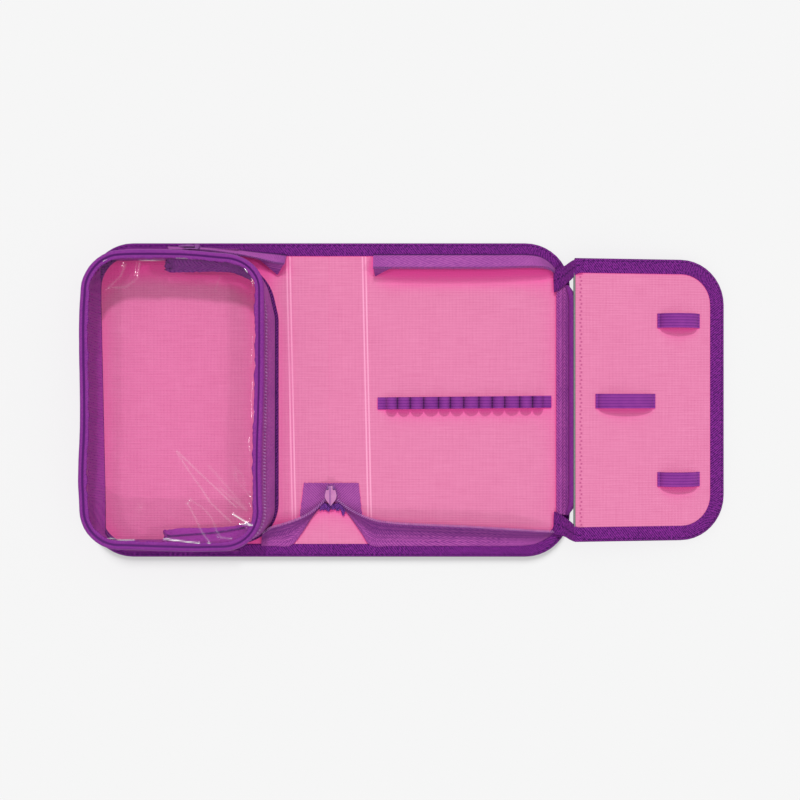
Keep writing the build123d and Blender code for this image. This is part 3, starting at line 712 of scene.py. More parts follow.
def panel_sheet(name, side, height, inset, grooved):
    """Half of a cloth over the open case: from the middle of the spine to one panel's rounded edge."""
    far = edge_x - inset
    size = (far, 2 * (edge_y - inset))
    middle = (side * far / 2, 0, height)
    sheet = start_sheet(name, size, middle, corner_radius - inset, lambda point: point.x * side > far / 2)
    for offset in groove_offsets:
        bpy.ops.mesh.select_all(action="SELECT")
        bpy.ops.mesh.bisect(plane_co=(side * (fold_x + offset), 0, 0), plane_no=(1, 0, 0))
    if grooved:
        pick(sheet, lambda point: abs(abs(point.x * side - fold_x) - groove_ridge) < 0.1 * MM)
        bpy.ops.transform.translate(value=(0, 0, groove_rise))
        pick(sheet, lambda point: abs(point.x * side - fold_x) < 0.6 * MM)
        bpy.ops.transform.translate(value=(0, 0, -groove_sink))
    if side < 0:
        pick(sheet, lambda point: point.x > -0.1 * MM)
        bpy.ops.transform.translate(value=(half_overlap, 0, -0.1 * MM))
    end_edit(sheet)
    bpy.ops.object.shade_smooth_by_angle(angle=math.radians(60))
    return sheet


def blend_at_fold(piece, side):
    """Bake a piece's place into its mesh. The side is not used."""
    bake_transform(piece)


# %% Both halves of lining and cover
cover_height = 0.4 * MM
cover_thickness = 0.7 * MM
for side, side_name in panel_names.items():
    lining = panel_sheet(side_name + "_half_lining", side, lining_top, sheet_inset, True)
    lay_uv(lining, flat_place)
    shown_for = [side_name + "_lining", side_name + "_fold_web", "spine_lining"]
    dress(lining, lining_cloth, "lining_weave", *shown_for)
    blend_at_fold(lining, side)
    cover = panel_sheet(side_name + "_half_cover", side, cover_height, sheet_inset, False)
    thicken(cover, cover_thickness)
    lay_uv(cover, flat_place)
    dress(cover, cover_cloth, "cover_weave", side_name + "_cover", "spine_cover")
    blend_at_fold(cover, side)

# %% [markdown]
# ## Edge binding
# Binding is a twill tape folded over the raw edge of all layers and sewn through. Its section is a narrow U
# lying on its side. The section is drawn at the middle of the spine, pulled to the first corner, spun round
# it, pulled along the outer edge, spun again and pulled back.


# %% Strips that run round a rounded outline
station_reach = 12 * MM


def even_stations(start, end, longest):
    """Places from start, left out, to end, evenly spaced and no further apart than longest."""
    count = max(1, math.ceil(abs(end - start) / longest))
    return [start + (end - start) * number / count for number in range(1, count + 1)]


def round_half(start_x, far_x, near_y, far_y, clockwise, extra, longest):
    """Carry the selected section along X, round a corner, along Y, round the next corner and back."""
    between = [x for x in extra if min(start_x, far_x) < x < max(start_x, far_x)]
    outward = sorted({*even_stations(start_x, far_x, longest), *between}, reverse=far_x < start_x)
    pull_along(0, start_x, outward)
    turn_corner((far_x, near_y, 0), clockwise)
    pull_along(1, near_y, even_stations(near_y, far_y, longest))
    turn_corner((far_x, far_y, 0), clockwise)
    pull_along(0, far_x, [*reversed(outward[:-1]), start_x])


def run_round(name, section, low, high, radius, start_x, side, extra=(), whole=False,
              longest=station_reach):
    """Carry a section, given as (inset, height), from start_x on the top edge round one side and back.

    With whole it goes on round the other side too, and extra are more stations on both long runs.
    """
    strip = draw_section(name, [(start_x, high[1] - inset * MM, height * MM) for inset, height in section])
    corner_top, corner_bottom = high[1] - radius, low[1] + radius
    side_ends = [low[0] + radius, high[0] - radius]
    round_half(start_x, side_ends[side > 0], corner_top, corner_bottom, side > 0, extra, longest)
    if whole:
        round_half(start_x, side_ends[side < 0], corner_bottom, corner_top, side > 0, extra, longest)
    return end_edit(strip)


# %% Binding round both halves
binding_section = [
    (8.7, 3.05), (8.75, 3.3), (8.3, 3.52), (6.5, 3.62), (4.2, 3.66), (2.0, 3.6), (0.8, 3.35), (0.15, 2.7),
    (0.02, 1.8), (0.1, 0.9), (0.5, 0.35), (1.4, 0.12), (4.5, 0.06), (8.6, 0.06), (8.7, 0.4),
]
binding_thickness = 0.35 * MM
case_low, case_high = (-edge_x, -edge_y), (edge_x, edge_y)
bound_edge, bound_length = round_edge(case_low, case_high, corner_radius)
for side, side_name in panel_names.items():
    bends = [side * (fold_x + offset) for offset in groove_offsets]
    binding = run_round(
        side_name + "_half_binding", binding_section, case_low, case_high, corner_radius, 0, side, bends)
    thicken(binding, binding_thickness, -1)
    lay_uv(binding, bound_edge, bound_length)
    shown_for = [side_name + "_binding", "spine_binding_top", "spine_binding_bottom"]
    dress(binding, binding_twill, "grosgrain", *shown_for)
    blend_at_fold(binding, side)
print("binding round the case, mm:", round(bound_length / MM))

# %% [markdown]
# ## Flap
# The flap is a smaller stiff panel, lined and bound like the others but hung on its long edge. It is
# modelled flat, with X from its hinge, and then laid on the frame's sloping flap by one matrix.

# %% Flap panel
flap_slope = math.radians(7.2)
flap_length = 100.8 * MM
flap_start = -1.2 * MM
hinge_x, _, hinge_z = joints["flap_hinge"]["pos_m"]
flap_axes = Matrix((
    (math.cos(flap_slope), 0, math.sin(flap_slope), hinge_x - lining_top / 2 * math.sin(flap_slope)),
    (0, 1, 0, 0),
    (-math.sin(flap_slope), 0, math.cos(flap_slope), hinge_z - lining_top / 2 * math.cos(flap_slope)),
    (0, 0, 0, 1),
))
flap_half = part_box("flap_binding")[1].y
print("flap, mm:", round(flap_length / MM, 1), "by", round(2 * flap_half / MM, 1))


def lay_on_flap(piece, body="flap"):
    """Carry a piece modelled flat to the flap's slope, and let it ride there."""
    piece.data.transform(flap_axes)
    piece.data.update()
    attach(piece, body)


def flap_sheet(name, height):
    """A cloth over the flap, square at the hinge and rounded at its two free corners."""
    length, width = flap_cut
    middle = (flap_start + length / 2, 0, height)
    return end_edit(start_sheet(
        name, flap_cut, middle, corner_radius - sheet_inset, lambda point: point.x > length / 2))


flap_cut = (flap_length - sheet_inset - flap_start, 2 * (flap_half - sheet_inset))
# %% Flap's cloths, card and binding
flap_lining = flap_sheet("flap_lining_cloth", lining_top)
lay_uv(flap_lining, flat_place)
dress(flap_lining, flap_cloth, "lining_weave", "flap_lining")
lay_on_flap(flap_lining)

card_x = flap_start - 0.9 * MM
card_end = flap_half - 10 * MM
card_edge = draw_section("flap_card_edge", [(card_x, -card_end, height * MM) for height in (0.9, 2.9)])
pull_along(1, -card_end, even_stations(-card_end, card_end, station_reach))
end_edit(card_edge)
thicken(card_edge, 0.8 * MM, -1)
lay_uv(card_edge, flat_place)
dress(card_edge, grey_card, "board")
lay_on_flap(card_edge)

flap_cover = thicken(flap_sheet("flap_cover_cloth", cover_height), cover_thickness)
lay_uv(flap_cover, flat_place)
dress(flap_cover, cover_cloth, "cover_weave", "flap_cover")
lay_on_flap(flap_cover)

flap_low, flap_high = (-flap_length, -flap_half), (flap_length, flap_half)
flap_edge, flap_edge_length = round_edge(flap_low, flap_high, corner_radius)
flap_binding_section = [(inset * 1.12, height) for inset, height in binding_section]
flap_binding = run_round(
    "flap_edge_binding", flap_binding_section, flap_low, flap_high, corner_radius, flap_start, 1)
thicken(flap_binding, binding_thickness, -1)
lay_uv(flap_binding, flap_edge, flap_edge_length)
dress(flap_binding, binding_twill, "grosgrain", "flap_binding")
lay_on_flap(flap_binding)
print("binding round the flap, mm:", round(flap_edge_length / 2 / MM))

# %% [markdown]
# ## Soft shapes
# Cloth that leans or sags is shaped by two curves: a straight ramp and a smooth bell.


# %% Ramp and bell
def share_of(value, start, span):
    """How far a value is on its way from start, over a span, from 0 to 1."""
    return max(0.0, min(1.0, (value - start) / span))


def bell(value, middle, reach):
    """1 at the middle, falling smoothly to about a third a reach away."""
    return math.exp(-((value - middle) / reach) ** 2)


# %% [markdown]
# ## Loose strips
# A loose strip of cloth lies between two smooth lines, one for each long edge. It starts as a flat grid,
# whose points are then moved to their share of the way between the lines.


# %% A strip of tape between two lines
def smooth_point(points, share):
    """The point at a share of the way along a smooth line through points."""
    place = share * (len(points) - 1)
    number = min(int(place), len(points) - 2)
    around = [max(0, min(len(points) - 1, number + step)) for step in (-1, 0, 1, 2)]
    before, start, end, after = (Vector(points[near]) for near in around)
    t = place - number
    return (start * 2 + (end - before) * t + (before * 2 - start * 5 + end * 4 - after) * t * t
            + (start * 3 - before - end * 3 + after) * t * t * t) / 2


def tape_strip(name, sewn, free, rise_power, thickness, columns=6, step=3.0):
    """A strip of cloth from its sewn line to its free line, both given in millimetres."""
    pieces = 40
    samples = [smooth_point(free, number / pieces) for number in range(pieces + 1)]
    length = sum((there - here).length for here, there in zip(samples, samples[1:]))
    strip = start_grid(name, max(4, int(length / step)), columns)
    width = (Vector(free[len(free) // 2]) - Vector(sewn[len(sewn) // 2])).length
    for loop in strip.data.uv_layers[0].data:
        loop.uv = (loop.uv.y * width * MM, loop.uv.x * length * MM)
    for corner in strip.data.vertices:
        along, across = corner.co.x + 0.5, corner.co.y + 0.5
        foot, edge = smooth_point(sewn, along), smooth_point(free, along)
        spot = foot.lerp(edge, across)
        spot.z = foot.z + (edge.z - foot.z) * across ** rise_power
        corner.co = spot * MM
    bpy.ops.object.shade_smooth()
    return thicken(strip, thickness * MM)


# %% [markdown]
# ## Hinge strip
# The flap hangs on a herringbone tape that stands up from the panel's outer edge, with a corded edge at
# the flap and the ends of the flap's binding crossing over it as ribbons. The tape's section sags a little
# between its sewn foot and its cord.

# %% Hinge tape
foot_x, _, foot_z = joints["strip_hinge"]["pos_m"]
strip_angle = math.atan2(hinge_z - foot_z, hinge_x - foot_x)
strip_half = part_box("flap_hinge_tape")[1].y


def strip_point(across, lift):
    """A point of the strip's section, across from its foot and above its slope."""
    x = foot_x + across * math.cos(strip_angle) - lift * math.sin(strip_angle)
    z = foot_z + across * math.sin(strip_angle) + lift * math.cos(strip_angle)
    return x, z


strip_section = [
    (0.5, 0.0), (1.4, 0.15), (3.0, 0.2), (4.4, 0.0), (4.9, -0.25), (5.4, 0.0), (7.2, 0.2), (8.8, -0.1),
    (9.6, -0.6),
]
strip_points = [strip_point(across * MM, lift * MM) for across, lift in strip_section]
hinge_tape = draw_section("hinge_tape", [(x, -strip_half, z) for x, z in strip_points])
pull(*[(0, strip_half / 8, 0)] * 16)
end_edit(hinge_tape)
thicken(hinge_tape, 0.6 * MM)


def strip_place(point):
    """The UV place of a strip that runs along Y: the slope is measured across it."""
    return point.y, (point.x - foot_x) / math.cos(strip_angle) + 1.6 * MM


lay_uv(hinge_tape, strip_place)
dress(hinge_tape, zip_tape, "zip_tape", "flap_hinge_tape")
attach(hinge_tape, "flap_strip")

# %% [markdown]
# ## Rolled edge and ribbons of the hinge
# At the flap the tape's edge is rolled into a soft cord, thick in the middle and tucked in at both ends. The
# ends of the flap's binding cross over it as flat ribbons. The roll is a grid wrapped round a line, so that
# its radius can change along the way; the ribbons bend where the flap does.

# %% Rolled edge
roll_radius = 2.7 * MM
end_reach = 11 * MM
end_share = 0.45
tuck_in, tuck_down = 3.4 * MM, 2.6 * MM
roll_x, roll_z = strip_point(12.4 * MM, -0.6 * MM)
hinge_roll = start_grid("hinge_edge_roll", 20, 40)
for corner in hinge_roll.data.vertices:
    turn, along = math.tau * (corner.co.x + 0.5), 2 * strip_half * corner.co.y
    near_end = min(1, (strip_half - abs(along)) / end_reach)
    full = math.sin(near_end * math.pi / 2)
    radius = roll_radius * (end_share + (1 - end_share) * full)
    middle_x = roll_x - tuck_in * (1 - full)
    middle_z = roll_z - tuck_down * (1 - full)
    waver = 0.12 * MM * noise.noise(Vector((0, along * 90, 3)))
    corner.co = (middle_x + (radius + waver) * math.cos(turn), along, middle_z + radius * math.sin(turn))
for loop in hinge_roll.data.uv_layers[0].data:
    loop.uv = (loop.uv.x * math.tau * roll_radius, loop.uv.y * 2 * strip_half)
take(hinge_roll)
bpy.ops.object.mode_set(mode="EDIT")
bpy.ops.mesh.select_all(action="SELECT")
bpy.ops.mesh.remove_doubles(threshold=merge_reach)
bpy.ops.mesh.select_all(action="DESELECT")
bpy.ops.mesh.select_non_manifold()
bpy.ops.mesh.fill_holes(sides=0)
end_edit(hinge_roll)
dress(hinge_roll, piping_cloth, "piping", "flap_hinge_cord")
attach(hinge_roll, "flap_strip")
print("roll, mm:", round(2 * roll_radius / MM, 1), "thick,", round(2 * strip_half / MM, 1), "long")

# %% Ribbons, the ends of the flap's binding
ribbon_outer = [
    (149.4, 86.2, 5.0), (152.8, 87.3, 7.4), (156.3, 88.7, 10.4), (159.1, 90.7, 13.2), (162.5, 92.3, 16.2),
    (167.0, 92.4, 16.4),
]
ribbon_inner = [
    (149.9, 71.6, 5.0), (153.4, 73.7, 7.4), (157.0, 76.7, 10.4), (159.8, 79.3, 13.2), (162.9, 82.6, 16.2),
    (167.0, 83.6, 16.4),
]
ribbon_end, ribbon_run = 167.0, 17.0
for place_name, side in (("top", 1), ("bottom", -1)):
    lines = []
    for line in (ribbon_outer, ribbon_inner):
        drop = 0 if side > 0 else 2.6
        lines.append([(x, side * y - drop * (ribbon_end - x) / ribbon_run, z) for x, y, z in line])
    ribbon = tape_strip("flap_ribbon_" + place_name + "_end", *lines, 1.0, 0.7, columns=8, step=1.5)
    dress(ribbon, binding_twill, "grosgrain", "flap_ribbon_" + place_name)
    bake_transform(ribbon)
print("ribbons: 2, of points", len(ribbon.data.vertices))

# %% [markdown]
# ## Main zip
# The zip's tape is a soft strip with one edge sewn to the binding and the other, with its coil, free. Opened
# flat, the free edge curls up and leans in over the lining, with a little more rise near the coil than at
# the seam. On the spine the two tapes run together into the tail, under the slider.


# %% A wound coil
def coil(name, line, radius=0.62, pitch=1.4, wire=0.24, points_per_turn=7):
    """A zip coil: a fine wire wound along a line, as a mesh. Its turns are wider than they are high."""
    wide, high = 1.25, 0.8
    sampled = max(60, 4 * len(line))
    samples = [smooth_point(line, number / sampled) for number in range(sampled + 1)]
    lengths = [0.0]
    for here, there in zip(samples, samples[1:]):
        lengths.append(lengths[-1] + (there - here).length)
    count = int(lengths[-1] / pitch * points_per_turn)
    curve = start_curve(name, wire * MM, 0)
    wound = curve.splines.new("POLY")
    wound.points.add(count)
    section = 0
    for number in range(count + 1):
        reach = lengths[-1] * number / count
        while section < len(samples) - 2 and lengths[section + 1] < reach:
            section += 1
        share = (reach - lengths[section]) / (lengths[section + 1] - lengths[section])
        middle = samples[section].lerp(samples[section + 1], share)
        ahead = (samples[section + 1] - samples[section]).normalized()
        aside = ahead.cross(Vector((0, 0, 1))).normalized()
        turn = math.tau * number / points_per_turn
        rise = Vector((0, 0, math.sin(turn) * radius * high))
        spot = middle + aside * math.cos(turn) * radius * wide + rise
        wound.points[number].co = (*(spot * MM), 1)
    piece = end_curve(name, curve)
    bpy.ops.object.shade_smooth()
    return piece


# %% Lower tapes, from the slider to the ends of both panels
right_free = [
    (5.6, -66.9, 5.9), (13.7, -73.0, 7.4), (23.5, -77.7, 9.0), (33.4, -80.6, 10.4), (47.2, -82.0, 11.6),
    (66.4, -82.9, 12.4), (93.9, -84.1, 12.7), (121.9, -85.9, 12.0), (139.5, -87.2, 9.4), (149.4, -88.0, 5.6),
]
right_sewn = [
    (9.0, -71.6, 4.5), (14.6, -78.6, 4.2), (21.4, -88.4, 3.95), (28.0, -97.0, 3.8), (42.0, -97.3, 3.75),
    (62.0, -97.3, 3.75), (93.7, -97.3, 3.75), (120.0, -97.3, 3.75), (136.0, -96.2, 3.75), (146.8, -91.0, 3.75),
]
left_free = [
    (-2.6, -66.9, 5.9), (-10.8, -74.4, 7.4), (-19.2, -78.9, 9.0), (-30.8, -82.8, 10.2), (-38.0, -85.0, 9.2),
    (-44.6, -89.4, 6.2),
]
left_sewn = [
    (-5.8, -71.6, 4.5), (-11.6, -78.6, 4.2), (-18.0, -88.4, 3.95), (-25.4, -97.0, 3.8), (-36.0, -97.3, 3.75),
    (-45.4, -97.3, 3.75),
]
lower_tapes = {1: (right_sewn, right_free), -1: (left_sewn, left_free)}
for side, (sewn, free) in lower_tapes.items():
    side_name = panel_names[side]
    tape = tape_strip(side_name + "_lower_zip_tape", sewn, free, 2.4, 0.6, columns=10)
    dress(tape, zip_tape, "zip_tape", side_name + "_zip_tape", side_name + "_bridge_tape")
    blend_at_fold(tape, side)
    inward = [(x, y + 0.6, z + 0.1) for x, y, z in free]
    row = coil(side_name + "_lower_coil", inward)
    dress(row, coil_nylon, "zip_teeth", side_name + "_zip_teeth", side_name + "_bridge_teeth")
    blend_at_fold(row, side)

# %% [markdown]
# ## Tail of the zip
# Where the two tapes meet they are joined into one tab under the slider. It stands a little above the lining,
# highest under the slider, and its cut sides wander. Below the slider the tapes' cut ends fray into loose
# threads: each is a short curve with its own length and lean, drawn at random from a fixed seed.

# %% Tail tab
tail_half, tail_flare = 18.2 * MM, 2.6 * MM
hem_y, foot_y, foot_slope = -55.3 * MM, -66.5 * MM, 0.62
tail_height, slider_lift = 3.45 * MM, 1.5 * MM
tail_tab = start_grid("zip_tail_cloth", 60, 24)
for corner in tail_tab.data.vertices:
    aside, down = corner.co.x, 0.5 - corner.co.y
    half_width = tail_half + down * tail_flare
    x = tail_x + aside * 2 * half_width
    hem = hem_y - 0.45 * MM * noise.noise(Vector((x * 700, 0, 5)))
    foot = foot_y - abs(x - tail_x) * foot_slope
    frayed = 0.5 * MM * noise.noise(Vector((corner.co.y * 20, aside, 9))) * abs(aside) * 2
    waver = 0.35 * MM * noise.noise(Vector((x * 90, down * 3, 4)))
    height = tail_height + slider_lift * bell(x, tail_x, 6 * MM) + waver
    corner.co = (x + frayed, hem + (foot - hem) * down, height)
for loop in tail_tab.data.loops:
    spot = tail_tab.data.vertices[loop.vertex_index].co
    tail_tab.data.uv_layers[0].data[loop.index].uv = (abs(spot.x - tail_x) + 40 * MM, spot.y)
thicken(tail_tab, 0.55 * MM)
dress(tail_tab, tab_tape, "zip_tape", "zip_tail_tab")
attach(tail_tab, "spine")

# %% Frayed ends
random.seed(11)
strands = 26
stray_strands = (20, 21)
slider_reach, slider_end = 4.6, -68.9
tail_middle = tail_x / MM
ends = start_curve("frayed_ends", 0.62 * MM, 1)
for number in range(strands):
    start_x = tail_middle - 6.5 + 14.5 * number / (strands - 1)
    stray = number in stray_strands
    reach = 4.4 + 1.6 * random.random() + 3.4 * stray
    reach += 2.0 * bell(start_x, tail_middle, 2.5)
    lean = (start_x - tail_middle) * 0.12 + random.uniform(-0.9, 0.9) + 2.2 * stray
    start_y = -66.2 - 0.35 * abs(start_x - tail_middle)
    if abs(start_x - tail_middle) < slider_reach:
        reach -= start_y - slider_end
        start_y = slider_end
    strand = ends.splines.new("NURBS")
    strand.points.add(3)
    for place, (share, rise) in enumerate(((0, 0.4), (0.35, 0.5), (0.7, 0.2), (1, -0.3))):
        height = 4.6 + rise + random.uniform(-0.3, 0.3)
        spot = Vector((start_x + lean * share, start_y - reach * share, height))
        strand.points[place].co = (*(spot * MM), 1)
    strand.order_u = 3
    strand.use_endpoint_u = True
frayed_ends = end_curve("frayed_tape_ends", ends)
dress(frayed_ends, frayed_thread, "zip_tape")
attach(frayed_ends, "spine")
print("frayed threads:", strands)

# %% [markdown]
# ## Upper tapes
# Beyond the top fold the zip is cut, so both tapes stand loose along the top binding, and their ends are
# turned under. They are made as the lower tapes are, from a sewn line and a free one, with the row of teeth
# along the free edge. The turned end is a small triangle: its free line shrinks to one point.

# %% Upper tapes, with their turned-in ends
upper_free = [
    (29.4, 87.8, 11.5), (60.0, 87.6, 12.4), (105.0, 87.6, 12.2), (136.0, 88.4, 11.2), (146.0, 87.4, 8.6),
    (151.0, 84.8, 4.8),
]
upper_sewn = [
    (29.4, 97.0, 3.75), (60.0, 97.0, 3.75), (105.0, 97.0, 3.75), (134.0, 96.8, 3.75), (144.4, 93.4, 3.75),
    (151.4, 86.6, 3.75),
]
left_upper_free = [
    (-29.0, 90.4, 10.0), (-36.0, 91.2, 9.6), (-50.0, 94.6, 9.2), (-64.5, 97.2, 9.0), (-84.0, 99.6, 8.4),
    (-106.0, 99.8, 7.8),
]
left_upper_sewn = [
    (-28.4, 96.8, 3.75), (-35.0, 97.6, 3.75), (-50.0, 98.8, 3.75), (-64.5, 100.4, 3.75), (-84.0, 101.6, 3.75),
    (-108.0, 102.4, 3.75),
]
tucked_ends = {
    "right": [(29.6, 88.2, 10.6), (42.6, 88.0, 10.4), (30.6, 82.4, 4.4)],
    "left": [(-29.2, 90.6, 9.0), (-47.0, 94.0, 7.6), (-34.4, 83.4, 4.4)],
}
upper_tapes = {"right": (upper_sewn, upper_free, -0.6), "left": (left_upper_sewn, left_upper_free, -0.3)}
for side_name, (sewn, free, lean) in upper_tapes.items():
    tape = tape_strip(side_name + "_upper_zip_tape", sewn, free, 1.0, 0.6)
    dress(tape, wall_tape, "zip_tape", side_name + "_zip_tape")
    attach(tape, side_name + "_panel")
    row = coil(side_name + "_upper_coil", [(x, y + lean, z + 0.1) for x, y, z in free])
    dress(row, moulded_nylon, "zip_teeth", side_name + "_zip_teeth")
    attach(row, side_name + "_panel")
for side_name, (first, second, tip) in tucked_ends.items():
    tail = tape_strip(side_name + "_tucked_end", [first, second], [tip, tip], 1.3, 0.5, step=2.0)
    dress(tail, zip_tape, "zip_tape")
    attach(tail, side_name + "_panel")
print("upper tapes and turned ends:", len(upper_tapes) + len(tucked_ends))

# %% [markdown]
# ## Tapes that stand on the binding
# The zip goes on round both panels. Under the hinge strip only a low standing edge of its tape is left in
# view. Round the pocket the tape stands on the binding, so a plain upright section is carried round the panel.

# %% Tape along the panel's outer edge, under the hinge strip
side_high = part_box("right_zip_side_tape")[1]
side_x, side_end = side_high.x / MM - 0.4, side_high.y / MM
side_sewn = [(side_x, -side_end, 3.6), (side_x, 0, 3.6), (side_x, side_end, 3.6)]
side_free = [
    (side_x, -side_end, 6.0), (side_x - 0.4, -side_end / 3, 6.1), (side_x - 0.3, side_end / 2, 5.9),
    (side_x, side_end, 6.0),
]
side_tape = tape_strip("right_side_zip_tape", side_sewn, side_free, 1.0, 0.5, columns=3)
dress(side_tape, zip_tape, "zip_tape", "right_zip_side_tape")
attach(side_tape, "right_panel")
print("edge tape, mm:", round(2 * side_end, 1))


# %% Tape that stands on the binding round the pocket
def upright_rows(node, inset, count):
    """The points of an upright tape's section, at an inset in millimetres, over the height of its node."""
    low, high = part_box(node)
    return [(inset, (low.z + (high.z - low.z) * number / count) / MM) for number in range(count + 1)]


standing_inset = 4.5
under_pocket = -60 * MM
standing_rows = upright_rows("left_zip_standing_tape", standing_inset, 2)
standing_tape = run_round(
    "left_standing_zip_tape", standing_rows, case_low, case_high, corner_radius, under_pocket, -1)
thicken(standing_tape, 0.6 * MM)
lay_uv(standing_tape, bound_edge, bound_length)
dress(standing_tape, zip_tape, "zip_tape", "left_zip_standing_tape")
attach(standing_tape, "left_panel")
print("standing tape points:", len(standing_tape.data.vertices))

# %% [markdown]
# ## Elastic
# The pencil loops are one elastic, sewn down between loops. Its section is a chain of arches, pulled across
# the elastic's width. The flap's three loops are single low arches.


# %% Pencil loops
def arch(start, end, height, foot, steps=12):
    """Points of one arch over a flat foot, from start to end, as (x, z)."""
    middle, half = (start + end) / 2, (end - start) / 2
    turns = [math.pi * (1 - number / steps) for number in range(steps + 1)]
    return [(middle + half * math.cos(turn), foot + height * math.sin(turn)) for turn in turns]


def pull_across(piece, width, steps=4):
    """Extrude a section drawn in the XZ plane along Y."""
    pull(*[(0, width / steps, 0)] * steps)
    return end_edit(piece)


elastic_thickness = 0.7 * MM
band_low, band_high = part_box("pencil_loop_band")
band_tab = 5.4 * MM
loop_count = 12
loop_pitch = (band_high.x - band_low.x - 2 * band_tab) / loop_count
loop_height = band_high.z - lining_top - 0.85 * MM
band_slant = 0.0096
seam_gap = 0.25 * MM
uneven_seams = (0, -1.0, -1.2, -1.0, 0.2, -0.8, -0.6, 0.8, 0.8, 0.4, 1.6, 1.4, 0)
seam_shifts = [shift * MM for shift in uneven_seams]
seams = [band_low.x + band_tab + loop_pitch * number + shift for number, shift in enumerate(seam_shifts)]
band_foot = lining_top + elastic_thickness / 2
band_line = [(band_low.x, band_foot)]
for seam, next_seam in zip(seams, seams[1:]):
    band_line += arch(seam + seam_gap, next_seam - seam_gap, loop_height, band_foot)
band_line.append((band_high.x, band_foot))
pencil_band = draw_section("pencil_loop_elastic", [(x, band_low.y, z) for x, z in band_line])
pull_across(pencil_band, band_high.y - band_low.y)
for corner in pencil_band.data.vertices:
    corner.co.y += (corner.co.x - (band_low.x + band_high.x) / 2) * band_slant
thicken(pencil_band, elastic_thickness)


def elastic_place(point):
    """The UV place of an elastic that runs along X: its cords are counted across Y."""
    return point.x, point.y


lay_uv(pencil_band, elastic_place)
dress(pencil_band, elastic_cloth, "elastic", "pencil_loop_band")
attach(pencil_band, "right_panel")
print("pencil loops:", loop_count, "of mm:", round(loop_pitch / MM, 2))

# %% Flap loops
flap_loops = {"top": (54.5, 29.0, 52.5), "middle": (12.3, 40.6, -0.7), "bottom": (54.5, 29.0, -52.5)}
flap_loop_width = 9.5 * MM
flap_loop_height = 5.5 * MM
loop_tab = 2 * MM
for place_name, (start, length, middle_y) in flap_loops.items():
    first, last = start * MM, (start + length) * MM
    line = arch(first + loop_tab, last - loop_tab, flap_loop_height, band_foot, 20)
    line = [(first, line[0][1]), *line, (last, line[-1][1])]
    low_y = middle_y * MM - flap_loop_width / 2
    strap = draw_section("flap_elastic_" + place_name, [(x, low_y, z) for x, z in line])
    pull_across(strap, flap_loop_width)
    thicken(strap, elastic_thickness)
    lay_uv(strap, elastic_place)
    dress(strap, elastic_cloth, "elastic", "flap_loop_" + place_name)
    lay_on_flap(strap)
print("flap loops:", list(flap_loops))

# %% [markdown]
# ## Expanding pocket
# The pocket is a box of soft walls round a clear window. From below: a flat binding sewn to the lining, a
# gusset that folds as the pocket is pressed flat, a zip tape all round, the zip, and an upper tape that
# carries the piped rim. Every one is a section carried round the same rounded outline. The gusset narrows
# towards its base, so its rows are scaled and shifted in edit mode after the ring is closed.

# %% Pocket outline and walls
fixed_low, fixed_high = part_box("pocket_fixed_piping")
rim_low = (fixed_low.x, fixed_low.y)
rim_high = (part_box("pocket_lid_piping")[1].x, fixed_high.y)
rim_radius = 25 * MM
lid_x = joints["lid_hinge"]["pos_m"][0]
base_low, base_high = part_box("pocket_base_binding")
base_outset = 1.8 * MM
base_edge_radius = 25
floor_radius = 8.0
rim_edge, rim_length = round_edge(rim_low, rim_high, rim_radius)
lid_stations = [lid_x + offset * MM for offset in (-6, -4, -2.5, -1.2, 0, 1.2, 2.5, 4, 6)]


def soft_shift(point):
    """How a point of the soft pocket leaves a true box: the rim leans in, the walls sag out.

    All its numbers are millimetres, read off the photograph: where each lean begins, and how far it goes.
    """
    x, y, z = point / MM
    high = share_of(z, 4, 24)
    low = 1 - high
    top, bottom = share_of(y, 55, 30), share_of(-y, 55, 30)
    left, right = share_of(-x, 125, 25), share_of(x, -75, 25)
    shift_x = high * left * (top - 1.3 * bell(y, -49, 22) - 0.7 * bell(y, 41, 30))
    shift_x -= 1.6 * high * right * bell(y, -45, 40)
    shift_x -= 6.5 * low * right * top + 3.4 * low * left * share_of(y, -70, 150)
    shift_x += 6.0 * high * low * right * (1 - top)
    shift_y = -high * (top * (1.2 + left + 2.8 * bell(x, -58, 24)) + 1.5 * bottom * bell(x, -85, 35))
    shift_y -= 1.5 * low * right * top
    centre_x = sewn_low[0] / MM + base_edge_radius
    centre_y = sewn_high[1] / MM - base_edge_radius
    if x < centre_x and abs(y) > centre_y:
        spoke = Vector((x - centre_x, y - math.copysign(centre_y, y))).normalized()
        sharper = (base_edge_radius - floor_radius) * low * low
        shift_x += sharper * (-1 - spoke.x)
        shift_y += sharper * (math.copysign(1, y) - spoke.y)
    return Vector((shift_x, shift_y, 0)) * MM


def soften(piece):
    """Let a finished piece of the pocket lean and sag."""
    for corner in piece.data.vertices:
        corner.co += soft_shift(corner.co)
    piece.data.update()
    return piece


# %% Base of the pocket
sewn_low = (base_low.x + base_outset, base_low.y + base_outset)
sewn_high = (base_high.x - base_outset, base_high.y - base_outset)
base_section = [(-1.6, 3.05), (-1.75, 3.3), (-1.4, 3.62), (-0.4, 3.68), (0.9, 3.62), (0.9, 3.05)]
pocket_reach = 4 * MM
base_strip = run_round(
    "pocket_base_tape", base_section, sewn_low, sewn_high, rim_radius, lid_x, 1, whole=True,
    longest=pocket_reach)
base_edge, base_length = round_edge(sewn_low, sewn_high, rim_radius)
lay_uv(base_strip, base_edge, base_length)
soften(base_strip)
dress(base_strip, base_edging, "grosgrain", "pocket_base_binding")
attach(base_strip, "left_panel")
print("pocket rim, mm:", [round((high - low) / MM, 1) for low, high in zip(rim_low, rim_high)])

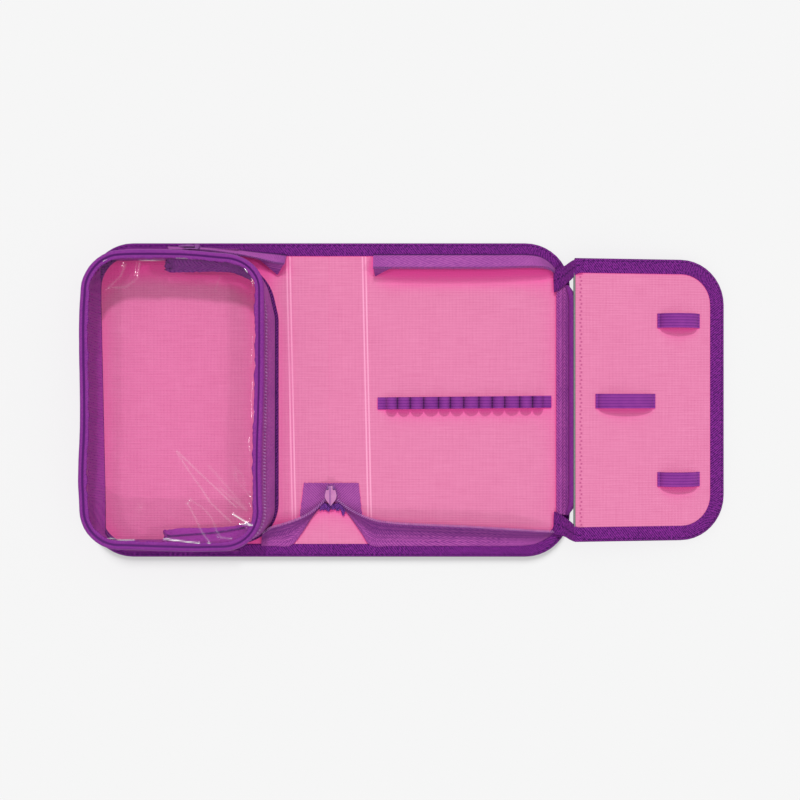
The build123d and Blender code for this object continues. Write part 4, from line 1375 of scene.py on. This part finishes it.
# %% Gusset
wall_inset = 1.65
wall_cloth = 0.7 * MM
gusset_rows = 8
gusset_section = upright_rows("pocket_gusset", wall_inset, gusset_rows)
gusset = run_round(
    "pocket_gusset_cloth", gusset_section, rim_low, rim_high, rim_radius, lid_x, 1, whole=True,
    longest=pocket_reach)
take(gusset)
rim_middle = Vector(((rim_low[0] + rim_high[0]) / 2, (rim_low[1] + rim_high[1]) / 2, 0))
base_middle = Vector(((base_low.x + base_high.x) / 2, (base_low.y + base_high.y) / 2, 0))
wall_size = Vector((rim_high[0] - rim_low[0], rim_high[1] - rim_low[1])) - Vector((2, 2)) * wall_inset * MM
foot_size = Vector((sewn_high[0] - sewn_low[0], sewn_high[1] - sewn_low[1])) - Vector((1, 1)) * MM
bpy.ops.object.mode_set(mode="EDIT")
for row, (_, height) in enumerate(gusset_section[:-1]):
    share = 1 - row / gusset_rows
    pick(gusset, lambda point: abs(point.z - height * MM) < 0.1 * MM)
    narrow = [1 - share * (1 - foot / wall) for foot, wall in zip(foot_size, wall_size)]
    bpy.ops.transform.resize(value=(*narrow, 1), center_override=rim_middle)
    bpy.ops.transform.translate(value=(base_middle - rim_middle) * share)
end_edit(gusset)
thicken(gusset, wall_cloth)
lay_uv(gusset, rim_edge, rim_length)
soften(gusset)
dress(gusset, wall_tape, "gusset_cloth", "pocket_gusset")
gusset.data.materials.append(gusset_cloth)
for face in gusset.data.polygons:
    outward = Vector((face.center.x, face.center.y)) - rim_middle.xy
    if face.normal.xy.dot(outward) < 0:
        face.material_index = 1
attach(gusset, "left_panel")
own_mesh(gusset)

# %% Upright tapes and walls
walls = {
    "pocket_lower_zip_tape": ("pocket_lower_tape", 1, True, wall_tape, "zip_tape", "pocket_top"),
    "pocket_fixed_side": ("pocket_fixed_wall", -1, False, gusset_cloth, "gusset_cloth", "pocket_top"),
    "pocket_upper_zip_tape": ("pocket_upper_tape", 1, False, wall_tape, "zip_tape", "pocket_lid"),
}
for name, (node, side, whole, cloth, slot, body) in walls.items():
    strip = run_round(
        name, upright_rows(node, wall_inset, 3), rim_low, rim_high, rim_radius, lid_x, side, whole=whole,
        longest=pocket_reach)
    thicken(strip, wall_cloth)
    lay_uv(strip, rim_edge, rim_length)
    soften(strip)
    dress(strip, cloth, slot, node)
    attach(strip, body)
print("upright walls:", len(walls))

# %% [markdown]
# ## The pocket's zip
# Two coils lie one above the other, each wound along the line where its tape ends. A thin track is carried
# round the outline as the walls are, then walked from point to point, so that the coil leans as they do.

# %% The pocket's zip
for row_name, height, body in (("lower", 19.9, "pocket_top"), ("upper", 22.1, "pocket_lid")):
    track = run_round(
        "track", [(wall_inset, height)], rim_low, rim_high, rim_radius, lid_x + 0.8 * MM, 1, longest=6 * MM)
    line = []
    start = Vector((lid_x, rim_high[1], 0))
    here = min(track.data.vertices, key=lambda corner: (corner.co - start).length).index
    neighbours = {corner.index: [] for corner in track.data.vertices}
    for edge in track.data.edges:
        neighbours[edge.vertices[0]].append(edge.vertices[1])
        neighbours[edge.vertices[1]].append(edge.vertices[0])
    before = None
    while here is not None:
        spot = track.data.vertices[here].co
        line.append(tuple((spot + soft_shift(spot)) / MM))
        onward = [number for number in neighbours[here] if number != before]
        before, here = here, onward[0] if onward else None
    bpy.data.objects.remove(track)
    row = coil("pocket_" + row_name + "_coil", line, radius=0.95, pitch=2.1, wire=0.34, points_per_turn=5)
    dress(row, coil_nylon, "zip_teeth", "pocket_" + row_name + "_teeth")
    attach(row, body)
print("turns' line, points:", len(line))

# %% [markdown]
# ## Tape ends inside the window
# Through the vinyl the loose ends of the pocket's tape show at the top and the bottom. They hang from the lid
# and are frayed at their cut end, where noise moves the points most. Small teeth lie on the lower one.

# %% Tape ends inside the window
inner_top = [(-104.8, 94.2, 25.0), (-85.0, 93.6, 25.0), (-65.0, 92.0, 25.0), (-50.0, 88.0, 25.0)]
inner_top_free = [
    (-105.4, 84.6, 20.4), (-103.6, 83.4, 20.0), (-85.0, 83.6, 20.0), (-65.0, 83.4, 20.0), (-57.0, 81.4, 20.0),
    (-49.4, 77.6, 20.6),
]
inner_bottom = [(-106.0, -92.6, 24.0), (-85.0, -94.0, 24.0), (-65.0, -93.2, 24.0), (-50.0, -88.5, 24.0)]
inner_bottom_free = [
    (-106.4, -86.6, 20.4), (-103.4, -84.0, 20.0), (-85.0, -83.4, 20.0), (-65.0, -82.8, 20.0),
    (-50.0, -79.6, 20.6),
]
inner_tapes = {
    "top": (inner_top, inner_top_free, inner_tape),
    "bottom": (inner_bottom, inner_bottom_free, gusset_cloth),
}
for place_name, (sewn, free, cloth) in inner_tapes.items():
    strip = tape_strip("pocket_inner_tape_" + place_name, sewn, free, 1.0, 0.6, columns=8, step=1.2)
    for corner in strip.data.vertices:
        torn = share_of(-corner.co.x / MM, 99, 6) * 2.4 + 0.5
        corner.co += torn * MM * noise.noise_vector(corner.co * 600)
    dress(strip, cloth, "gusset_cloth")
    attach(strip, "pocket_lid")

inner_line = [
    (-104.5, -88.6, 22.8), (-92.0, -87.6, 22.6), (-76.0, -86.4, 22.4), (-62.0, -84.4, 22.4),
    (-53.5, -82.6, 22.4),
]
inner_row = coil("pocket_inner_coil", inner_line, radius=0.4, pitch=1.3, wire=0.22)
dress(inner_row, frayed_thread, "zip_teeth")
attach(inner_row, "pocket_lid")
print("inner tapes:", list(inner_tapes))

# %% [markdown]
# ## Rim and window
# A fat piping goes all round the pocket's top, with a flat band inside it that holds the vinyl. The lid folds
# back along a line where no seam is, so piping, band and window are each one piece across it, and the rim has
# extra stations there.

# %% Piped rim
rim_section = [
    (3.9, 28.2), (3.0, 27.3), (2.0, 27.0), (1.0, 27.25), (0.3, 27.9), (0.0, 28.9), (0.25, 29.9), (0.9, 30.65),
    (1.9, 31.0), (2.8, 30.75), (3.4, 30.1), (3.7, 30.05), (4.1, 30.4), (4.8, 30.55), (5.6, 30.4), (6.1, 30.05),
    (6.0, 29.95), (4.2, 29.95),
]


def blend_at_lid(piece):
    """Bake a piece's place into its mesh."""
    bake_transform(piece)


rim = run_round(
    "pocket_piped_rim", [*rim_section, rim_section[0]], rim_low, rim_high, rim_radius, lid_x, 1, lid_stations,
    whole=True, longest=2 * MM)
lay_uv(rim, rim_edge, rim_length)
for corner in rim.data.vertices:
    inset = rim_edge(corner.co)[1] - corner.co.z
    ragged = share_of(inset, 4.5 * MM, 1.6 * MM) * 0.9 * MM
    corner.co += ragged * noise.noise_vector(Vector((corner.co.x, corner.co.y, 0)) * 330)
    corner.co += 0.12 * MM * noise.noise_vector(corner.co * 120)
soften(rim)
dress(rim, rim_cloth, "piping", "pocket_fixed_piping", "pocket_lid_piping")
blend_at_lid(rim)
print("rim points:", len(rim.data.vertices))

# %% [markdown]
# ## Vinyl
# Clear soft vinyl lets nearly all the light through and mirrors the lamps where it is bent. Its shader mixes a
# faintly pink clear one with a sharp and a soft glossy one, by how far the sheet is turned away and by a
# painted-glint attribute that the window's mesh carries: where that is high, the sheet mirrors the white world
# almost fully, so it is a painted glint. The creases are real bends of the mesh as well.

# %% Clear vinyl
vinyl, tree, output = new_material("clear_vinyl")
facing = add_node(tree, "LayerWeight", 0.5).outputs["Facing"]
steep = add_node(tree, "Math", facing, 5.0, operation="POWER")
# Painted glints: an attribute on the window's points raises its mirror share along the listed lines.
creased = add_node(tree, "Attribute", attribute_name="crease").outputs["Fac"]
creased = add_node(tree, "Math", creased, 2.0, operation="POWER")
shown = add_node(tree, "Math", steep, 0.4, 0.014, operation="MULTIPLY_ADD")
shown = add_node(tree, "Math", creased, 0.85, shown, operation="MULTIPLY_ADD", use_clamp=True)
clear = add_node(tree, "BsdfTransparent", linear("#FFF3FC"))
sharp = add_node(tree, "BsdfGlossy", linear("#FFFFFF"), 0.07)
soft = add_node(tree, "BsdfGlossy", linear("#FFFFFF"), 0.3)
glossy = add_node(tree, "MixShader", shown, clear, add_node(tree, "MixShader", 0.35, sharp, soft))
tree.links.new(glossy.outputs[0], output.inputs[0])
print("vinyl nodes:", len(tree.nodes))

# %% Window
window_inset = 4.2 * MM
window_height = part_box("pocket_lid_window")[1].z
window_size = [high - low - 2 * window_inset for low, high in zip(rim_low, rim_high)]
window = start_sheet(
    "pocket_vinyl_window", window_size, (rim_middle.x, rim_middle.y, window_height),
    rim_radius - window_inset)
for axis, count in ((0, 80), (1, 120)):
    for number in range(1, count):
        bpy.ops.mesh.select_all(action="SELECT")
        place, normal = [0, 0, 0], [0, 0, 0]
        place[axis] = rim_low[axis] + (rim_high[axis] - rim_low[axis]) * number / count
        normal[axis] = 1
        bpy.ops.mesh.bisect(plane_co=place, plane_no=normal)
bpy.ops.mesh.select_all(action="SELECT")
bpy.ops.mesh.subdivide(number_cuts=1)
end_edit(window)
lay_uv(window, flat_place)
print("window, mm:", [round(length / MM, 1) for length in window_size])

# %% [markdown]
# ## Creases in the window
# Each crease is a short line through a few places, counted in squares of 0.67 mm in a view from above. After
# the places come its reach and its rise, in millimetres, and how bright its painted glint is.


# %% Creases
square = 0.67
middle_column, middle_row = 329.5, 400


def seen_at(column, row, height=29.0):
    """Where a square of the view from above lies on a level at this height, in millimetres."""
    nearer = 1 - height / (camera_height / MM)
    middle = camera_x / MM
    x, y = (column - middle_column) * square, (middle_row - row) * square
    return Vector((middle + (x - middle) * nearer, y * nearer))


wrinkles = [
    ([(177, 451), (207, 480), (236, 507)], 1.3, 0.42, 0.36),
    ([(177, 453), (211, 503), (231, 522)], 1.3, 0.42, 0.34),
    ([(190, 501), (188, 503), (195, 517), (202, 532), (209, 541)], 1.2, 0.40, 0.36),
    ([(190, 500), (192, 501), (202, 507), (211, 517), (217, 531), (221, 538)], 1.2, 0.40, 0.30),
    ([(235, 468), (237, 481), (246, 491), (253, 501)], 1.2, 0.36, 0.22),
    ([(235, 467), (243, 476), (245, 487)], 1.2, 0.36, 0.22),
    ([(209, 466), (246, 509)], 2.2, 0.35, 0.22),
    ([(220, 488), (246, 510)], 2.2, 0.35, 0.26),
    ([(233, 514), (241, 519), (251, 525)], 1.0, 0.8, 1.0),
    ([(241, 524), (252, 525)], 0.9, 0.6, 0.95),
    ([(126, 264), (121, 276), (108, 288)], 1.5, 0.40, 0.26),
    ([(140, 263), (138, 278), (126, 287), (110, 288)], 1.5, 0.40, 0.26),
    ([(220, 277), (215, 291)], 1.4, 0.30, 0.22),
    ([(109, 538), (122, 540), (134, 540)], 0.7, 0.5, 0.7),
    ([(164, 539), (182, 541), (200, 543)], 0.8, 0.7, 1.0),
    ([(204, 544), (210, 543)], 0.7, 0.6, 0.9),
    ([(221, 538), (232, 538)], 0.7, 0.5, 0.75),
    ([(104, 261), (112, 255)], 0.9, 0.7, 1.0),
    ([(120, 255), (126, 255)], 0.7, 0.6, 0.9),
    ([(140, 261), (164, 260)], 0.7, 0.5, 0.6),
    ([(176, 258), (208, 259)], 0.7, 0.5, 0.6),
    ([(238, 260), (244, 265), (247, 272)], 0.8, 0.7, 1.0),
]


def from_line(spot, line):
    """How far a point lies from a line of points."""
    nearest = 1e9
    for here, there in zip(line, line[1:]):
        run = there - here
        share = max(0.0, min(1.0, (spot - here).dot(run) / run.dot(run)))
        nearest = min(nearest, (spot - here - run * share).length)
    return nearest


# %% Creases pressed into the window
rim_hold, sag_reach = 1.7, 1.9
wrinkle_lines = []
for pixels, reach, rise, shine in wrinkles:
    line = [seen_at(*pixel) for pixel in pixels]
    lows = (min(spot.x for spot in line) - 3 * reach, min(spot.y for spot in line) - 3 * reach)
    highs = (max(spot.x for spot in line) + 3 * reach, max(spot.y for spot in line) + 3 * reach)
    wrinkle_lines.append((line, reach, rise, shine, lows, highs))
crease = window.data.attributes.new("crease", "FLOAT", "POINT")
for corner in window.data.vertices:
    inward = rim_edge(corner.co)[1] - corner.co.z - window_inset
    corner.co += soft_shift(corner.co)
    spot = corner.co.xy / MM
    pull_down = 0.95 + 0.9 * noise.noise(Vector((corner.co.x * 60, corner.co.y * 60, 2)))
    beyond_rim = max(0.0, inward / MM - rim_hold)
    lift = -max(0.0, pull_down) * (1 - math.exp(-beyond_rim / sag_reach))
    bright = 0.0
    lift += 0.5 * noise.noise(Vector((corner.co.x * 14, corner.co.y * 14, 7)))
    for line, reach, rise, shine, lows, highs in wrinkle_lines:
        if lows[0] < spot.x < highs[0] and lows[1] < spot.y < highs[1]:
            away = from_line(spot, line)
            lift += rise * bell(away, 0, reach)
            bright = max(bright, shine * bell(away, 0, 0.55 * reach))
    corner.co.z += lift * MM
    # The attribute is a painted glint along each crease, as bright as its table says.
    crease.data[corner.index].value = bright
dress(window, vinyl, "clear_pvc", "pocket_fixed_window", "pocket_lid_window")
blend_at_lid(window)
print("creases:", len(wrinkles))

# %% [markdown]
# ## Finish
# Raised pieces are left out of the shadows of two lamps.

# %% Pieces that cast no shadow on the table or above themselves
raised = {
    "table_lamp": ("pocket", "flap", "hinge", "left_upper", "left_lower"),
    "bottom_window": ("pencil", "flap_elastic", "flap_loop"),
}
for lamp_name, starts in raised.items():
    left_out = unshaded[lamp_name]
    for piece in bpy.context.scene.objects:
        if piece.type == "MESH" and piece.name.startswith(starts):
            left_out.objects.link(piece)
            left_out.collection_objects[-1].light_linking.link_state = "EXCLUDE"
